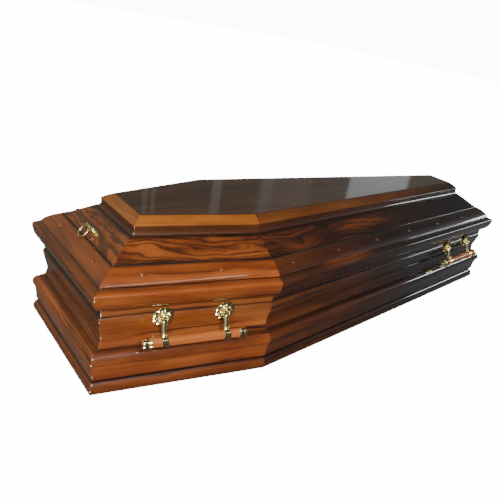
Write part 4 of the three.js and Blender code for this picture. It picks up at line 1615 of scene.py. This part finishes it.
@dataclass(frozen=True)
class Viewpoint:
    """The camera that was fitted to the photograph.

    Attributes:
        place: Where it is, in metres.
        right: The way to the picture's right.
        up: The way to the picture's top.
        lens: Focal length in millimetres on a sensor 36 mm wide.
    """

    place: tuple = (-1.4491626, -1.26376003, 0.99184742)
    right: tuple = (0.78065483, -0.60085523, 0.1719041)
    up: tuple = (0.12950942, 0.42462521, 0.89605845)
    lens: float = 36.8819

    def build(self) -> None:
        """Puts the camera in the scene."""
        data = bpy.data.cameras.new("camera")
        data.sensor_width = 36.0
        data.lens = self.lens
        camera = bpy.data.objects.new("camera", data)
        bpy.context.scene.collection.objects.link(camera)
        camera.matrix_world = aimed(self.place, self.right, self.up)
        bpy.context.scene.camera = camera


@dataclass(frozen=True)
class Studio:
    """The pale floor, the soft lights, the surroundings and the camera.

    Attributes:
        white: Brightness of the floor and the backdrop to the camera.
        near_wall: Light of the room on the near side.
        far_wall: Light of the room beyond the far side.
        beyond_foot: Pale sheen low beyond the foot, which greys the mouldings of the far end.
        glows: A small bright spot that the rounded corners and the brass mirror, and the soft light
            behind the camera.
        windows: Bands of light that the polished lid mirrors.
        lights: The soft lights.
    """

    white: float = 15.0
    near_wall: tuple = (0.07, 0.07, 0.07, 1.0)
    far_wall: tuple = (0.125, 0.125, 0.105, 1.0)
    beyond_foot: tuple = (0.21, 0.22, 0.23, 1.0)
    glows: tuple = (
        Glow((-0.33, -0.75, -0.57), 0.976, 0.989, (45.0, 45.0, 45.0, 1.0)),
        Glow((-0.72, -0.63, 0.29), 0.6, 0.95, (0.5, 0.5, 0.46, 1.0)),
    )
    windows: tuple = (
        Window(32.2, 38.3, (0.62, 0.66, 0.68, 1.0), 0.25),
        Window(42.4, 46.6, (0.19, 0.185, 0.165, 1.0), 0.3),
        Window(46.6, 48.1, (0.25, 0.26, 0.23, 1.0)),
        Window(52.5, 53.6, (0.3, 0.3, 0.28, 1.0), 0.15),
        Window(60.0, 60.5, (0.28, 0.27, 0.24, 1.0), 0.15),
        Window(60.9, 61.5, (0.28, 0.27, 0.24, 1.0), 0.15),
        Window(84.0, 150.0, (0.3, 0.31, 0.23, 1.0), 6.0),
    )
    lights: tuple = (
        SoftLight(
            "key", (-2.0, -3.0, 2.9), (-0.7, -0.3, 0.25), (1.6, 1.2), 190.0, (1.0, 0.94, 0.85)
        ),
        SoftLight("strip", (-0.2, -1.9, 2.6), (-0.5, -0.3, 0.3), (1.3, 0.1), 3.5, (1.0, 0.95, 0.92)),
        SoftLight("spark", (-2.3, -1.35, 1.75), (-0.75, -0.3, 0.2), (0.22, 0.22), 15.0),
        SoftLight(
            "head_fill", (-3.3, 0.9, 2.5), (-0.9, 0.0, 0.3), (2.4, 2.0), 36.0, (0.98, 1.0, 0.84)
        ),
        SoftLight(
            "foot_window", (4.8, -1.5, 1.5), (0.4, -0.3, 0.3), (1.4, 0.4), 32.0, (0.92, 0.97, 1.0)
        ),
    )

    def build(self) -> None:
        """Builds the studio."""
        self._floor()
        self._world()
        for light in self.lights:
            light.build()
        Viewpoint().build()

    def _floor(self) -> None:
        """A wide pale floor that shows nearly white and still takes a faint shadow."""
        mesh = bpy.data.meshes.new("floor")
        r = 30.0
        mesh.from_pydata([(-r, -r, 0), (r, -r, 0), (r, r, 0), (-r, r, 0)], [], [(0, 1, 2, 3)])
        floor = bpy.data.objects.new("floor", mesh)
        bpy.context.scene.collection.objects.link(floor)
        material, canvas, shader = new_material("pale_floor")
        glow, grey = (1.0, 1.0, 1.0, 1.0), (0.55, 0.54, 0.52, 1.0)
        settle(shader, {"Base Color": grey, "Roughness": 0.9, "Emission Color": glow})
        seen = canvas.add("ShaderNodeLightPath").outputs["Is Camera Ray"]
        canvas.put(canvas.math("MULTIPLY", seen, self.white), shader.inputs["Emission Strength"])
        mesh.materials.append(material)
        floor.visible_glossy = False

    def _world(self) -> None:
        """White to the camera, and a dim room with tall windows to everything else.

        The room is a dull wall beyond the far side with brighter upright bands in it, and near darkness
        on the near side. A band is a range of bearings, each with soft edges.
        """
        world = bpy.data.worlds.new("surroundings")
        bpy.context.scene.world = world
        world.use_nodes = True
        canvas = Canvas(world.node_tree)
        nodes = world.node_tree.nodes
        way = canvas.add("ShaderNodeTexCoord").outputs["Generated"]
        parts = canvas.add("ShaderNodeSeparateXYZ")
        canvas.put(way, parts.inputs[0])
        x, y, z = parts.outputs
        bearing = canvas.math("MULTIPLY", canvas.math("ARCTAN2", y, x), 360.0 / TURN)
        shine = canvas.blend(canvas.ramp(y, -0.1, 0.25), self.near_wall, self.far_wall)
        low_enough = canvas.math("SUBTRACT", 1.0, canvas.ramp(z, 0.5, 0.8))
        low_enough = canvas.math("MULTIPLY", low_enough, canvas.ramp(z, -0.06, 0.04))
        for window in self.windows:
            inside = canvas.ramp(bearing, window.start - window.soft, window.start + window.soft)
            past = canvas.ramp(bearing, window.end - window.soft, window.end + window.soft)
            mask = canvas.math("MULTIPLY", canvas.math("SUBTRACT", inside, past), low_enough)
            shine = canvas.blend(mask, shine, window.tint)
        low = canvas.math("SUBTRACT", 1.0, canvas.ramp(z, -0.1, 0.1))
        mask = canvas.math("MULTIPLY", canvas.ramp(x, 0.78, 0.95), low)
        shine = canvas.blend(mask, shine, self.beyond_foot)
        for glow in self.glows:
            shine = canvas.blend(canvas.near(way, glow.bearing, glow.low, glow.high), shine, glow.tint)
        room = nodes["Background"]
        canvas.put(shine, room.inputs["Color"])
        white = canvas.add("ShaderNodeBackground")
        white.inputs["Strength"].default_value = self.white
        mix = canvas.add("ShaderNodeMixShader")
        canvas.put(canvas.add("ShaderNodeLightPath").outputs["Is Camera Ray"], mix.inputs[0])
        canvas.put(room.outputs[0], mix.inputs[1])
        canvas.put(white.outputs[0], mix.inputs[2])
        canvas.put(mix.outputs[0], nodes["World Output"].inputs["Surface"])


def main() -> None:
    """Builds the coffin, its fittings and the studio in order."""
    logging.basicConfig(level=logging.INFO, format="%(name)s: %(message)s")
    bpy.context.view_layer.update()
    palette = Palette()
    Carcass(palette).build()
    Fittings(palette).build()
    Studio().build()


if __name__ == "__main__":
    main()
